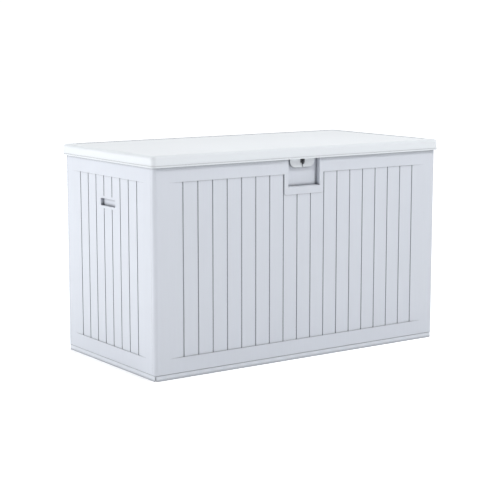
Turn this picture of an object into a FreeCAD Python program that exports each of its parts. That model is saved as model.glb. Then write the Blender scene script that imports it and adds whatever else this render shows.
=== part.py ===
"""Deck storage box: a flat-pack resin chest with a hinged lid, two gas struts and a padlock tongue.

Millimetres. The origin is the middle of the underside, +X runs along the front to the right, the front faces -Y
and +Z is up. The lid is modelled shut. Every size that can be set by itself is a cell of the sheet "dims".
"""
import FreeCAD, Part

import math
import os
import Sketcher

DRIVING_SIZES = [
    # The body: four panels on a base.
    ("body_length", 1440, "outside of the side panels"),
    ("body_depth", 714, "outside of the front and back panels"),
    ("wall_exposed", 812, "panel height from its seat to the lid's lower edge"),
    ("wall_overlap", 12, "panel height hidden inside the lid"),
    ("corner_radius", 17, "upright corners of the body"),
    ("panel_skin", 6.2, "moulded wall"),
    ("long_panel_depth", 22, "front and back panels with their ribs"),
    ("side_panel_depth", 20, "side panels with their ribs"),
    ("panel_gap", 0.4, "between neighbouring panels"),
    ("edge_bar", 20, "end bar of the front and back panels that takes the corner screws"),
    ("end_flange", 4, "end wall of a side panel"),
    ("bottom_flange", 8, "bottom wall of a panel"),
    ("top_flange", 4, "top wall of a panel"),
    ("panel_rib", 3, "ribs inside the panels"),
    ("cell_rows", 4, "rows of cells between the ribs"),
    ("long_cell_columns", 7, "columns of cells in the front and back panels"),
    ("side_cell_columns", 3, "columns of cells in the side panels"),
    # The board pattern on the outside of the panels.
    ("rail_height", 60, "plain rail above and below the boards"),
    ("stile_width", 64.5, "plain upright at each end of the boards"),
    ("field_recess", 2.2, "boards set back from the rails"),
    ("front_grooves", 18, "grooves, front and back"),
    ("side_grooves", 8, "grooves, sides"),
    ("groove_width", 4.4, "between the boards' rounded edges"),
    ("groove_depth", 2.6, "below the boards' faces"),
    ("groove_lip", 1.1, "rounded edge of a board"),
    # The lock recess in the front panel.
    ("recess_width", 160, "inside"),
    ("recess_drop", 113, "ledge below the lid's lower edge"),
    ("recess_depth", 23, "behind the front face"),
    ("recess_wall", 3, "around the recess"),
    ("recess_frame_drop", 145, "lower edge of the frame around the recess"),
    ("frame_radius", 10, "lower corners of that frame"),
    ("ledge_slope", 3, "height of the sloped front of the recess ledge"),
    ("ledge_reach", 6, "depth of that slope"),
    # The hand pockets in the side panels.
    ("pocket_width", 118, "opening"),
    ("pocket_height", 30, "opening"),
    ("pocket_depth", 16, "behind the side's face"),
    ("pocket_drop", 168, "middle of the pocket below the lid's lower edge"),
    ("pocket_radius", 4.5, "corners of the opening"),
    ("pocket_border", 10, "plain border around the opening"),
    # The base.
    ("slab_height", 22, "visible edge of the base"),
    ("slab_inset", 1.5, "base edge behind the panels' faces"),
    ("shadow_gap", 2, "dark joint between base and panels"),
    ("shadow_inset", 5, "depth of that joint"),
    ("tray_rise", 12, "raised floor above the panels' seat"),
    ("tray_gap", 0.6, "between the raised floor and the panels"),
    ("base_skin", 4, "floor and outer walls of the base"),
    ("base_rib", 4, "ribs under the floor"),
    ("base_columns", 8, "cells under the floor along the length, an even number"),
    ("base_rows", 4, "cells under the floor along the depth, an even number"),
    ("channel_width", 11, "channel under the panels' seat"),
    ("seat_skin", 4, "wall between that channel and the panels"),
    # The lid.
    ("lid_overhang", 10, "lip of the lid beyond the body, all round"),
    ("lid_height", 47, "lower edge to top"),
    ("lid_skin", 3.2, "moulded wall"),
    ("lid_radius", 18, "upright corners of the lid"),
    ("lid_edge_radius", 13, "rounded top edge"),
    ("bead_height", 6, "lip along the lower edge"),
    ("bead_proud", 1.5, "lip beyond the skirt"),
    ("top_border", 40, "plain border of the top"),
    ("top_step", 1, "middle of the top below its border"),
    ("border_radius", 14, "corners of the sunk middle"),
    ("liner_clearance", 4, "lid liner above the panels' tops"),
    ("liner_skin", 3, "lid liner"),
    ("liner_gap", 1, "between the liner and the lid's skirt"),
    ("liner_rib_depth", 8, "ribs under the liner"),
    ("liner_rib", 4, "their thickness"),
    ("liner_margin", 70, "ribbed part of the liner from the body's outside"),
    ("liner_columns", 9, "fields between the ribs, along the length, an odd number"),
    ("liner_rows", 4, "fields between the ribs, along the depth"),
    ("liner_boss", 14, "screw bosses on top of the liner"),
    ("boss_radius", 6, "screw bosses inside the lid"),
    ("bar_size", 20, "square steel support bar"),
    ("bar_wall", 1.5, "its wall"),
    ("bar_end_gap", 8, "between its ends and the bosses of the strut brackets"),
    ("bar_offset", 150, "each bar from the lid's middle line"),
    ("bar_gap", 0.4, "between a bar and the ribs that hold it"),
    # The hinges.
    ("hinge_offset", 5, "hinge axis behind the back panel's face"),
    ("hinge_inset", 160, "outer hinges from the body's ends"),
    ("hinge_width", 60, "hinge leaf"),
    ("knuckle_radius", 4.7, "hinge knuckle"),
    ("knuckle_share", 20, "width of the middle knuckle"),
    ("knuckle_gap", 0.4, "between knuckles"),
    ("leaf_thickness", 2, "steel leaf"),
    ("leaf_drop", 50, "lower edge of the leaf on the back panel, below the axis"),
    ("leaf_reach", 44, "leaf under the lid, forward of the axis"),
    ("leaf_radius", 4, "lower corners of the leaf on the back panel"),
    ("leaf_bend", 1, "inside of the bend in the leaf under the lid"),
    ("leaf_screw_high", 22, "two screws of the leaf on the back panel, below the axis"),
    ("leaf_screw_low", 38, "its third screw, below the axis"),
    ("leaf_screw_across", 20, "outer screws of a leaf from its middle"),
    ("leaf_screw_forward", 33, "screws of the leaf under the lid, forward of the axis"),
    ("throat_gap", 0.8, "between a knuckle and the other leaf"),
    ("hinge_pad_margin", 4, "solid pad in the back panel beyond the leaf"),
    ("hinge_boss", 30, "boss above the liner over a hinge, along the depth"),
    ("pin_radius", 2, "hinge pin"),
    ("pin_clearance", 0.05, "hinge pin in a knuckle"),
    ("pin_head", 1.2, "thickness of the pin's two heads"),
    ("pin_head_radius", 3.2, "the pin's two heads"),
    ("notch_height", 7, "cut-out in the lid's skirt at a hinge"),
    ("notch_gap", 1.6, "between a hinge and the sides of its cut-out"),
    # The gas struts.
    ("strut_radius", 300, "hinge axis to each end of a strut"),
    ("strut_angle", 70, "between those two lines with the lid shut, degrees"),
    ("open_angle", 80, "lid travel, degrees"),
    ("strut_drop", 10, "upper strut end below the hinge axis, lid shut"),
    ("strut_inset", 17, "strut axis from the side panel's inner face"),
    ("tube_radius", 8, "strut cylinder"),
    ("tube_wall", 1.2, "strut cylinder"),
    ("tube_end", 2.4, "closed end of the strut cylinder"),
    ("rod_radius", 3, "strut rod"),
    ("slide_clearance", 0.05, "rod in its gland, and ball in its socket"),
    ("piston_clearance", 0.1, "piston in the cylinder"),
    ("gland_length", 12, "seal and guide in the cylinder's mouth"),
    ("piston_length", 10, "piston on the rod"),
    ("stroke_spare", 4, "unused stroke at full reach"),
    ("rod_showing", 8, "bare rod with the lid shut"),
    ("socket_reach", 20, "ball centre to the end of a socket"),
    ("socket_radius", 8, "ball socket"),
    ("socket_width", 11, "ball socket along the ball's stem"),
    ("socket_neck", 5, "neck between socket and strut"),
    ("ball_radius", 4, "ball stud"),
    ("stem_radius", 2.6, "stem of the ball stud"),
    ("foot_radius", 5, "riveted foot of the ball stud"),
    ("mouth_clearance", 0.4, "stem in the socket's mouth"),
    ("bracket_thickness", 2, "steel strut bracket"),
    ("bracket_width", 40, "strut bracket along the depth"),
    ("bracket_height", 56, "strut bracket on the side panel"),
    ("bracket_flange", 30, "strut bracket under the lid"),
    ("bracket_tab", 10, "bracket beyond the ball's centre"),
    ("flange_screw_inset", 12, "flange's screws from its inner edge"),
    # The lock.
    ("tongue_width", 124, "lock tongue"),
    ("tongue_drop", 36, "lock tongue below the lid's lower edge"),
    ("tongue_radius", 26, "lower corners of the lock tongue"),
    ("tongue_setback", 12, "lock tongue behind the front face"),
    ("tongue_thickness", 4, "lock tongue"),
    ("tongue_foot", 30, "foot of the tongue under the liner, along the depth"),
    ("tongue_foot_gap", 0.8, "between that foot and the front panel's top"),
    ("tongue_foot_radius", 2, "upright corners of that foot"),
    ("tongue_screw_across", 28, "screws of that foot from the middle"),
    ("slit_clearance", 0.8, "staple in the tongue's slit, each side"),
    ("slit_rise", 3, "slit above the staple's top"),
    ("escutcheon_width", 21, "black plate on the tongue"),
    ("escutcheon_height", 18, "the same, below the lid's lower edge"),
    ("escutcheon_thickness", 1.5, "black plate"),
    ("escutcheon_radius", 3, "its lower corners"),
    ("staple_thickness", 4, "steel staple"),
    ("staple_top", 6, "top of the staple below the lid's lower edge"),
    ("staple_height", 17, "staple"),
    ("staple_setback", 1.5, "tip of the staple behind the front face"),
    ("staple_flange", 36, "staple's plate on the recess wall"),
    ("staple_plate", 2.5, "thickness of that plate"),
    ("staple_radius", 5, "rounded corners of the staple and its plate"),
    ("staple_screw_across", 11, "screws of that plate from the middle"),
    ("padlock_radius", 4.5, "padlock hole"),
    ("padlock_inset", 8, "padlock hole behind the staple's tip"),
    # Fasteners.
    ("screw_radius", 2, "screw shank"),
    ("screw_clearance", 0.15, "shank in its hole"),
    ("screw_head_radius", 4, "screw head"),
    ("screw_head_height", 2.4, "screw head"),
    ("screw_cross", 4.4, "length of the cross recess"),
    ("screw_cross_width", 1, "width of the cross recess"),
    ("screw_cross_depth", 1.4, "depth of the cross recess"),
    ("screw_tip_gap", 2, "hole beyond the tip of a screw"),
    ("corner_screw", 18, "length under the head"),
    ("base_screw", 11, "length under the head"),
    ("hinge_screw", 14, "length under the head"),
    ("bracket_screw", 12, "length under the head"),
    ("liner_screw", 16, "length under the head"),
    ("staple_screw", 7, "length under the head"),
    ("base_screw_inset", 180, "outer base screws from the body's corners"),
]

# A pattern's gap that takes the pattern's own spacing, as every gap here does.
EVEN_SPACING = -1.0

# A quarter round drawn as two flats: how far its middle point lies from both sides, as a share of the radius.
QUARTER_ROUND = 1 - math.sqrt(0.5)

# Direction of each origin plane's sketch normal, as (axis index, sign).
PLANE_NORMALS = {"XY_Plane": (2, 1), "XZ_Plane": (1, -1), "YZ_Plane": (0, 1)}


class Size:
    """A length or angle that knows both its number and the sheet expression that drives it."""

    def __init__(self, text, value):
        self.text = text
        self.value = float(value)

    @staticmethod
    def of(other):
        return other if isinstance(other, Size) else Size(str(other), other)

    def _join(self, other, sign, value):
        return Size(f"({self.text} {sign} {Size.of(other).text})", value)

    def __add__(self, other):
        return self._join(other, "+", self.value + Size.of(other).value)

    def __sub__(self, other):
        return self._join(other, "-", self.value - Size.of(other).value)

    def __mul__(self, other):
        return self._join(other, "*", self.value * Size.of(other).value)

    def __truediv__(self, other):
        return self._join(other, "/", self.value / Size.of(other).value)

    def __neg__(self):
        return Size(f"(0 - {self.text})", -self.value)

    __radd__ = __add__


def sine(angle):
    return Size(f"sin({angle.text})", math.sin(math.radians(angle.value)))


def cosine(angle):
    return Size(f"cos({angle.text})", math.cos(math.radians(angle.value)))


def arcsine(ratio):
    return Size(f"asin({ratio.text}) / 1 deg", math.degrees(math.asin(ratio.value)))


class Sizes:
    """The driving sizes, and the places that several pieces share."""

    def __init__(self, doc):
        sheet = doc.addObject("Spreadsheet::Sheet", "dims")
        for row, (alias, value, note) in enumerate(DRIVING_SIZES, start=1):
            sheet.set(f"A{row}", str(value))
            sheet.setAlias(f"A{row}", alias)
            sheet.set(f"B{row}", note)
            setattr(self, alias, Size(f"dims.{alias}", value))
        doc.recompute()
        self.half_x = self.body_length / 2
        self.half_y = self.body_depth / 2
        self.seat_z = self.slab_height + self.shadow_gap
        self.rim_z = self.seat_z + self.wall_exposed
        self.wall_top = self.rim_z + self.wall_overlap
        self.wall_height = self.wall_exposed + self.wall_overlap
        self.field_z = self.seat_z + self.rail_height
        self.field_height = self.wall_exposed - self.rail_height * 2
        self.front_pitch = (self.body_length - self.stile_width * 2) / (self.front_grooves + 1)
        self.side_pitch = (self.body_depth - self.stile_width * 2) / (self.side_grooves + 1)
        self.inner_x = self.half_x - self.side_panel_depth
        self.inner_y = self.half_y - self.long_panel_depth
        self.lid_x = self.half_x + self.lid_overhang
        self.lid_y = self.half_y + self.lid_overhang
        self.skirt_x = self.lid_x - self.bead_proud
        self.skirt_y = self.lid_y - self.bead_proud
        self.lid_top = self.rim_z + self.lid_height
        self.lid_ceiling = self.lid_top - self.top_step - self.lid_skin
        self.liner_z = self.wall_top + self.liner_clearance
        self.liner_top = self.liner_z + self.liner_skin
        self.ribs_x = self.half_x - self.liner_margin
        self.ribs_y = self.half_y - self.liner_margin
        self.liner_pitch = (self.ribs_x * 2 - self.liner_rib) / self.liner_columns
        self.bar_length = (self.inner_x - self.bracket_thickness - self.bracket_flange - self.bar_end_gap) * 2
        self.hinge_spacing = self.half_x - self.hinge_inset
        self.axis_y = self.half_y + self.hinge_offset
        self.axis_z = self.rim_z
        self.screw_hole = self.screw_radius + self.screw_clearance
        self.tongue_front = -self.half_y + self.tongue_setback
        self.recess_back = -self.half_y + self.recess_depth
        self.slit_half = self.staple_thickness / 2 + self.slit_clearance
        self.slit_top = self.rim_z - self.staple_top + self.slit_rise
        self.strut_tilt = arcsine(self.strut_drop / self.strut_radius)
        lower_angle = self.strut_tilt + self.strut_angle
        self.upper_y = self.axis_y - self.strut_radius * cosine(self.strut_tilt)
        self.upper_z = self.axis_z - self.strut_drop
        self.lower_y = self.axis_y - self.strut_radius * cosine(lower_angle)
        self.lower_z = self.axis_z - self.strut_radius * sine(lower_angle)
        self.strut_lean = self.strut_tilt + self.strut_angle / 2
        self.strut_x = self.inner_x - self.strut_inset
        self.strut_shut = self.strut_radius * 2 * sine(self.strut_angle / 2)
        self.strut_open = self.strut_radius * 2 * sine((self.strut_angle + self.open_angle) / 2)
        self.tube_length = self.strut_shut - self.socket_reach * 2 - self.rod_showing
        self.rod_length = (self.strut_open - self.socket_reach * 2 - self.tube_length
                           + self.gland_length + self.piston_length + self.stroke_spare)


def bind(thing, path, size):
    """Drives one property of an object by a sheet expression."""
    thing.setExpression(path, Size.of(size).text)


# ---------------------------------------------------------------------------------------------------------------
# Sketches and features
# ---------------------------------------------------------------------------------------------------------------

def new_body(doc, label):
    body = doc.addObject("PartDesign::Body", label)
    body.Label = label
    return body


def origin_feature(body, role):
    return next(item for item in body.Origin.OriginFeatures if item.Role == role)


def new_sketch(body, role, level):
    """A sketch on one origin plane of its body, moved along that plane's world axis to the given level."""
    sketch = body.newObject("Sketcher::SketchObject", f"{body.Name}_sketch")
    sketch.AttachmentSupport = [(origin_feature(body, role), "")]
    sketch.MapMode = "FlatFace"
    sign = PLANE_NORMALS[role][1]
    bind(sketch, "AttachmentOffset.Base.z", Size.of(level) * sign)
    return sketch


def fix_point(sketch, geometry, point, x, y):
    """Ties one sketch point to its distances from the sketch's origin."""
    for kind, size in (("DistanceX", x), ("DistanceY", y)):
        size = Size.of(size)
        index = sketch.addConstraint(Sketcher.Constraint(kind, -1, 1, geometry, point, size.value))
        sketch.setExpression(f"Constraints[{index}]", size.text)


def corner_points(before, corner, after, radius):
    """Where a rounded corner starts, ends and has its centre. The sides that meet there run along X or Y."""
    def step(target):
        across = target[0].value - corner[0].value
        up = target[1].value - corner[1].value
        if abs(across) > abs(up):
            return (1 if across > 0 else -1), 0
        return 0, (1 if up > 0 else -1)

    back = step(before)
    onward = step(after)
    start = (corner[0] + radius * back[0], corner[1] + radius * back[1])
    end = (corner[0] + radius * onward[0], corner[1] + radius * onward[1])
    centre = (start[0] + radius * onward[0], start[1] + radius * onward[1])
    left_turn = back[1] * onward[0] - back[0] * onward[1] > 0
    return start, end, centre, left_turn


def draw_outline(sketch, corners):
    """A closed outline. Each corner is (x, y) or (x, y, radius)."""
    corners = [tuple(Size.of(value) for value in corner) for corner in corners]
    stops = []
    arcs = []
    for index, corner in enumerate(corners):
        if len(corner) == 2:
            stops.append((corner, corner))
            continue
        before = corners[index - 1]
        after = corners[(index + 1) % len(corners)]
        start, end, centre, left_turn = corner_points(before, corner, after, corner[2])
        stops.append((start, end))
        arcs.append((index, centre, corner[2], left_turn))
    lines = []
    for index in range(len(corners)):
        start = stops[index][1]
        end = stops[(index + 1) % len(corners)][0]
        ends = [FreeCAD.Vector(point[0].value, point[1].value, 0) for point in (start, end)]
        lines.append(sketch.addGeometry(Part.LineSegment(*ends), False))
    rounded = {index for index, *_ in arcs}
    for index, line in enumerate(lines):
        following = (index + 1) % len(lines)
        fix_point(sketch, line, 2, *stops[following][0])
        if following in rounded:
            fix_point(sketch, lines[following], 1, *stops[following][1])
        else:
            sketch.addConstraint(Sketcher.Constraint("Coincident", line, 2, lines[following], 1))
    for index, centre, radius, left_turn in arcs:
        draw_corner_arc(sketch, lines[index - 1], lines[index], stops[index], centre, radius, left_turn)


def draw_corner_arc(sketch, line_in, line_out, stops, centre, radius, left_turn):
    middle = FreeCAD.Vector(centre[0].value, centre[1].value, 0)
    first, last = stops if left_turn else (stops[1], stops[0])
    angles = [math.atan2(point[1].value - middle.y, point[0].value - middle.x) for point in (first, last)]
    if angles[1] < angles[0]:
        angles[1] += 2 * math.pi
    circle = Part.Circle(middle, FreeCAD.Vector(0, 0, 1), radius.value)
    arc = sketch.addGeometry(Part.ArcOfCircle(circle, *angles), False)
    start, end = (1, 2) if left_turn else (2, 1)
    sketch.addConstraint(Sketcher.Constraint("Coincident", line_in, 2, arc, start))
    sketch.addConstraint(Sketcher.Constraint("Coincident", arc, end, line_out, 1))
    index = sketch.addConstraint(Sketcher.Constraint("DistanceX", -1, 1, arc, 3, centre[0].value))
    sketch.setExpression(f"Constraints[{index}]", centre[0].text)


def draw_rectangle(sketch, x_range, y_range, radius=None):
    extra = () if radius is None else (radius,)
    draw_outline(sketch, [(x_range[0], y_range[0]) + extra, (x_range[1], y_range[0]) + extra,
                          (x_range[1], y_range[1]) + extra, (x_range[0], y_range[1]) + extra])


def draw_circle(sketch, x, y, radius):
    x, y, radius = Size.of(x), Size.of(y), Size.of(radius)
    centre = FreeCAD.Vector(x.value, y.value, 0)
    circle = sketch.addGeometry(Part.Circle(centre, FreeCAD.Vector(0, 0, 1), radius.value), False)
    fix_point(sketch, circle, 3, x, y)
    index = sketch.addConstraint(Sketcher.Constraint("Radius", circle, radius.value))
    sketch.setExpression(f"Constraints[{index}]", radius.text)


def extrude(body, sketch, kind, length, direction):
    """A Pad or Pocket whose length runs in the given direction (+1 or -1) of the sketch plane's world axis."""
    feature = body.newObject(f"PartDesign::{kind}", f"{body.Name}_{kind.lower()}")
    feature.Profile = sketch
    role = sketch.AttachmentSupport[0][0].Role
    along_normal = direction == PLANE_NORMALS[role][1]
    feature.Reversed = along_normal if kind == "Pocket" else not along_normal
    feature.Length = Size.of(length).value
    bind(feature, "Length", length)
    sketch.Visibility = False
    return feature


def pad(body, sketch, length, direction):
    return extrude(body, sketch, "Pad", length, direction)


def pocket(body, sketch, length, direction):
    return extrude(body, sketch, "Pocket", length, direction)


def pattern(body, feature, steps):
    """Repeats a feature in a row or a grid. Each step is (axis role, spacing, count)."""
    repeat = body.newObject("PartDesign::LinearPattern", f"{body.Name}_pattern")
    repeat.Originals = [feature]
    for suffix, (role, spacing, count) in zip(("", "2"), steps):
        setattr(repeat, f"Direction{suffix}", (origin_feature(body, role), [""]))
        setattr(repeat, f"Mode{suffix}", "Spacing")
        setattr(repeat, f"Occurrences{suffix}", 2)
        setattr(repeat, f"Spacings{suffix}", [EVEN_SPACING])
        bind(repeat, f"Offset{suffix}", spacing)
        bind(repeat, f"Occurrences{suffix}", count)
    body.Tip = repeat
    return repeat


def fillet(doc, body, radius, chosen):
    """Rounds every edge of the body's last feature for which chosen(edge) is true."""
    doc.recompute()
    base = body.Tip
    names = [f"Edge{index}" for index, edge in enumerate(base.Shape.Edges, start=1) if chosen(edge)]
    feature = body.newObject("PartDesign::Fillet", f"{body.Name}_fillet")
    feature.Base = (base, names)
    bind(feature, "Radius", radius)
    return feature


def near(first, second):
    return abs(first - Size.of(second).value) < 1e-4


# ---------------------------------------------------------------------------------------------------------------
# Panels
# ---------------------------------------------------------------------------------------------------------------

def cut_cells(body, sizes, plane, level, direction, span, columns, margin, depth):
    """Hollows the inner side of a panel into cells, and leaves its skin, its edges and its ribs."""
    width = (span - margin * 2 + sizes.panel_rib) / columns - sizes.panel_rib
    height = ((sizes.wall_height - sizes.bottom_flange - sizes.top_flange + sizes.panel_rib)
              / sizes.cell_rows - sizes.panel_rib)
    left = -(span / 2) + margin
    low = sizes.seat_z + sizes.bottom_flange
    sketch = new_sketch(body, plane, level)
    draw_rectangle(sketch, (left, left + width), (low, low + height))
    cell = pocket(body, sketch, depth, direction)
    across = "X_Axis" if plane == "XZ_Plane" else "Y_Axis"
    pattern(body, cell, [(across, width + sizes.panel_rib, columns),
                         ("Z_Axis", height + sizes.panel_rib, sizes.cell_rows)])


def turned(points, side, along_x):
    """Plan points given as (along the panel, depth behind its face), turned to the panel's side of the box."""
    return [(along, depth) if along_x else (depth, along) for along, depth in
            ((along, (depth[0] - depth[1]) * side) for along, depth in points)]


def cut_boards(body, sizes, face, side, along_x, pitch, grooves):
    """Sets the boards back from the rails, and cuts the grooves between them.

    face is the distance of the panel's outer face from the box's middle, and side is -1 or +1.
    """
    half = pitch * (grooves - 1) / 2
    outside = face + sizes.field_recess
    sketch = new_sketch(body, "XY_Plane", sizes.field_z)
    field = [(-half - pitch, (face, 0)), (-half, (face, sizes.field_recess)),
             (half, (face, sizes.field_recess)), (half + pitch, (face, 0)),
             (half + pitch, (outside, 0)), (-half - pitch, (outside, 0))]
    draw_outline(sketch, turned(field, side, along_x))
    pocket(body, sketch, sizes.field_height, 1)

    mouth = sizes.groove_width / 2
    lip = sizes.groove_lip
    board = face - sizes.field_recess
    sketch = new_sketch(body, "XY_Plane", sizes.field_z)
    ease = lip * QUARTER_ROUND
    profile = [(-half - mouth - lip, (board, 0)), (-half - mouth - ease, (board, ease)),
               (-half - mouth, (board, lip)), (-half - mouth, (board, sizes.groove_depth)),
               (-half + mouth, (board, sizes.groove_depth)), (-half + mouth, (board, lip)),
               (-half + mouth + ease, (board, ease)), (-half + mouth + lip, (board, 0)),
               (-half + mouth + lip, (outside, 0)), (-half - mouth - lip, (outside, 0))]
    draw_outline(sketch, turned(profile, side, along_x))
    groove = pocket(body, sketch, sizes.field_height, 1)
    pattern(body, groove, [("X_Axis" if along_x else "Y_Axis", pitch, grooves)])


def screw_heights(sizes):
    """The corner screws sit half-way up each row of cells."""
    rows = int(sizes.cell_rows.value)
    row = (sizes.wall_height - sizes.bottom_flange - sizes.top_flange) / sizes.cell_rows
    return [sizes.seat_z + sizes.bottom_flange + row * (index + 0.5) for index in range(rows)]


def corner_screw_x(sizes):
    return sizes.half_x - (sizes.side_panel_depth + sizes.panel_skin) / 2


def cut_holes(body, plane, level, length, direction, radius, centres):
    sketch = new_sketch(body, plane, level)
    for x, y in centres:
        draw_circle(sketch, x, y, radius)
    return pocket(body, sketch, length, direction)


def base_screw_points(sizes):
    """Screws through the base: four evenly spaced into the front and back panels, two into each side panel."""
    long_y = sizes.half_y - sizes.long_panel_depth / 2
    side_x = sizes.half_x - sizes.side_panel_depth / 2
    spacing = (sizes.half_x - sizes.base_screw_inset) * 2 / 3
    long_points = [(spacing * step, long_y) for step in (-1.5, -0.5, 0.5, 1.5)]
    side_points = [(side_x, (sizes.half_y - sizes.base_screw_inset) * end) for end in (-1, 1)]
    return long_points, side_points


def long_panel(doc, sizes, label, side):
    """The front (side -1) or back (side +1) panel, up to its boards and screw holes."""
    body = new_body(doc, label)
    face = sizes.half_y * side
    inner = sizes.inner_y * side
    sketch = new_sketch(body, "XY_Plane", sizes.seat_z)
    draw_rectangle(sketch, (-sizes.half_x, sizes.half_x), sorted((face, inner), key=lambda size: size.value))
    pad(body, sketch, sizes.wall_height, 1)

    def is_outer_corner(edge):
        place = edge.CenterOfMass
        return near(abs(place.x), sizes.half_x) and near(place.y, face)

    fillet(doc, body, sizes.corner_radius, is_outer_corner)
    cut_cells(body, sizes, "XZ_Plane", inner, side, sizes.body_length, sizes.long_cell_columns, sizes.edge_bar,
              sizes.long_panel_depth - sizes.panel_skin)
    cut_boards(body, sizes, sizes.half_y, side, True, sizes.front_pitch, sizes.front_grooves)
    corner_holes = [(corner_screw_x(sizes) * end, height) for end in (-1, 1) for height in screw_heights(sizes)]
    reach = sizes.corner_screw - sizes.end_flange - sizes.panel_gap + sizes.screw_tip_gap
    cut_holes(body, "XZ_Plane", inner, reach, side, sizes.screw_hole, corner_holes)
    seats = [(x, y * side) for x, y in base_screw_points(sizes)[0]]
    cut_holes(body, "XY_Plane", sizes.seat_z, sizes.bottom_flange, 1, sizes.screw_hole, seats)
    return body


def cut_recess(body, sizes):
    """Cuts the lock recess: a ledge that falls to the front, a back wall and an open top."""
    ledge = sizes.rim_z - sizes.recess_drop
    sketch = new_sketch(body, "YZ_Plane", -sizes.recess_width / 2)
    draw_outline(sketch, [(-sizes.half_y, ledge - sizes.ledge_slope), (-sizes.half_y + sizes.ledge_reach, ledge),
                          (sizes.recess_back, ledge), (sizes.recess_back, sizes.wall_top),
                          (-sizes.half_y, sizes.wall_top)])
    pocket(body, sketch, sizes.recess_width, 1)


def draw_cup(sketch, sizes, margin):
    """The upright outline of the lock housing's cup, widened by the margin at its sides and underside."""
    half = sizes.recess_width / 2 + sizes.recess_wall + margin
    low = sizes.rim_z - sizes.recess_drop - sizes.recess_wall - margin
    draw_rectangle(sketch, (-half, half), (low, sizes.wall_top))


def front_panel(doc, sizes):
    """The front panel with the frame around the lock recess and room behind it for the lock housing."""
    body = long_panel(doc, sizes, "front_panel", -1)
    skin_y = -sizes.half_y + sizes.panel_skin
    half = sizes.front_pitch * 1.5 - sizes.groove_width / 2 - sizes.groove_lip
    low = sizes.rim_z - sizes.recess_frame_drop
    top = sizes.rim_z - sizes.rail_height

    # The frame around the lock recess is flush with the top rail and covers the two middle grooves.
    sketch = new_sketch(body, "XZ_Plane", skin_y)
    draw_outline(sketch, [(-half, low, sizes.frame_radius), (half, low, sizes.frame_radius), (half, top), (-half, top)])
    pad(body, sketch, sizes.panel_skin, -1)
    sketch = new_sketch(body, "XZ_Plane", skin_y)
    draw_cup(sketch, sizes, sizes.panel_gap)
    pocket(body, sketch, sizes.long_panel_depth - sizes.panel_skin, 1)
    cut_recess(body, sizes)
    return body


def lock_housing(doc, sizes):
    """The moulded cup behind the front panel's frame: the ledge, the sides and the back wall of the recess."""
    body = new_body(doc, "lock_housing")
    sketch = new_sketch(body, "XZ_Plane", -sizes.half_y + sizes.panel_skin)
    draw_cup(sketch, sizes, 0)
    pad(body, sketch, sizes.recess_depth + sizes.recess_wall - sizes.panel_skin, 1)
    cut_recess(body, sizes)
    cut_holes(body, "XZ_Plane", sizes.recess_back, sizes.recess_wall, 1, sizes.screw_hole, staple_screw_points(sizes))
    return body


def back_panel(doc, sizes):
    body = long_panel(doc, sizes, "back_panel", 1)
    sketch = new_sketch(body, "XZ_Plane", sizes.inner_y)
    half = sizes.hinge_width / 2 + sizes.hinge_pad_margin
    low = sizes.axis_z - sizes.leaf_drop - sizes.hinge_pad_margin
    for x in hinge_places(sizes):
        draw_rectangle(sketch, (x - half, x + half), (low, sizes.rim_z))
    pad(body, sketch, sizes.long_panel_depth - sizes.panel_skin, 1)
    holes = [(x + across, height) for x in hinge_places(sizes) for across, height in body_leaf_screws(sizes)]
    reach = sizes.hinge_screw - sizes.leaf_thickness + sizes.screw_tip_gap
    cut_holes(body, "XZ_Plane", sizes.half_y, reach, -1, sizes.screw_hole, holes)
    return body


def around_pocket(sizes, margin):
    """The y and z ranges of a rectangle that lies outside the hand pocket's opening by the margin."""
    middle = sizes.rim_z - sizes.pocket_drop
    reach = sizes.pocket_width / 2 + margin
    rise = sizes.pocket_height / 2 + margin
    return (-reach, reach), (middle - rise, middle + rise)


def hand_pocket(doc, sizes, label, side):
    """The moulded cup of one hand pocket, behind the side panel's skin."""
    body = new_body(doc, label)
    skin_x = (sizes.half_x - sizes.panel_skin) * side
    depth = sizes.pocket_depth - sizes.panel_skin
    sketch = new_sketch(body, "YZ_Plane", skin_x)
    draw_rectangle(sketch, *around_pocket(sizes, sizes.recess_wall))
    pad(body, sketch, depth + sizes.recess_wall, -side)
    sketch = new_sketch(body, "YZ_Plane", skin_x)
    draw_rectangle(sketch, *around_pocket(sizes, 0), sizes.pocket_radius)
    pocket(body, sketch, depth, -side)
    return body


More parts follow.
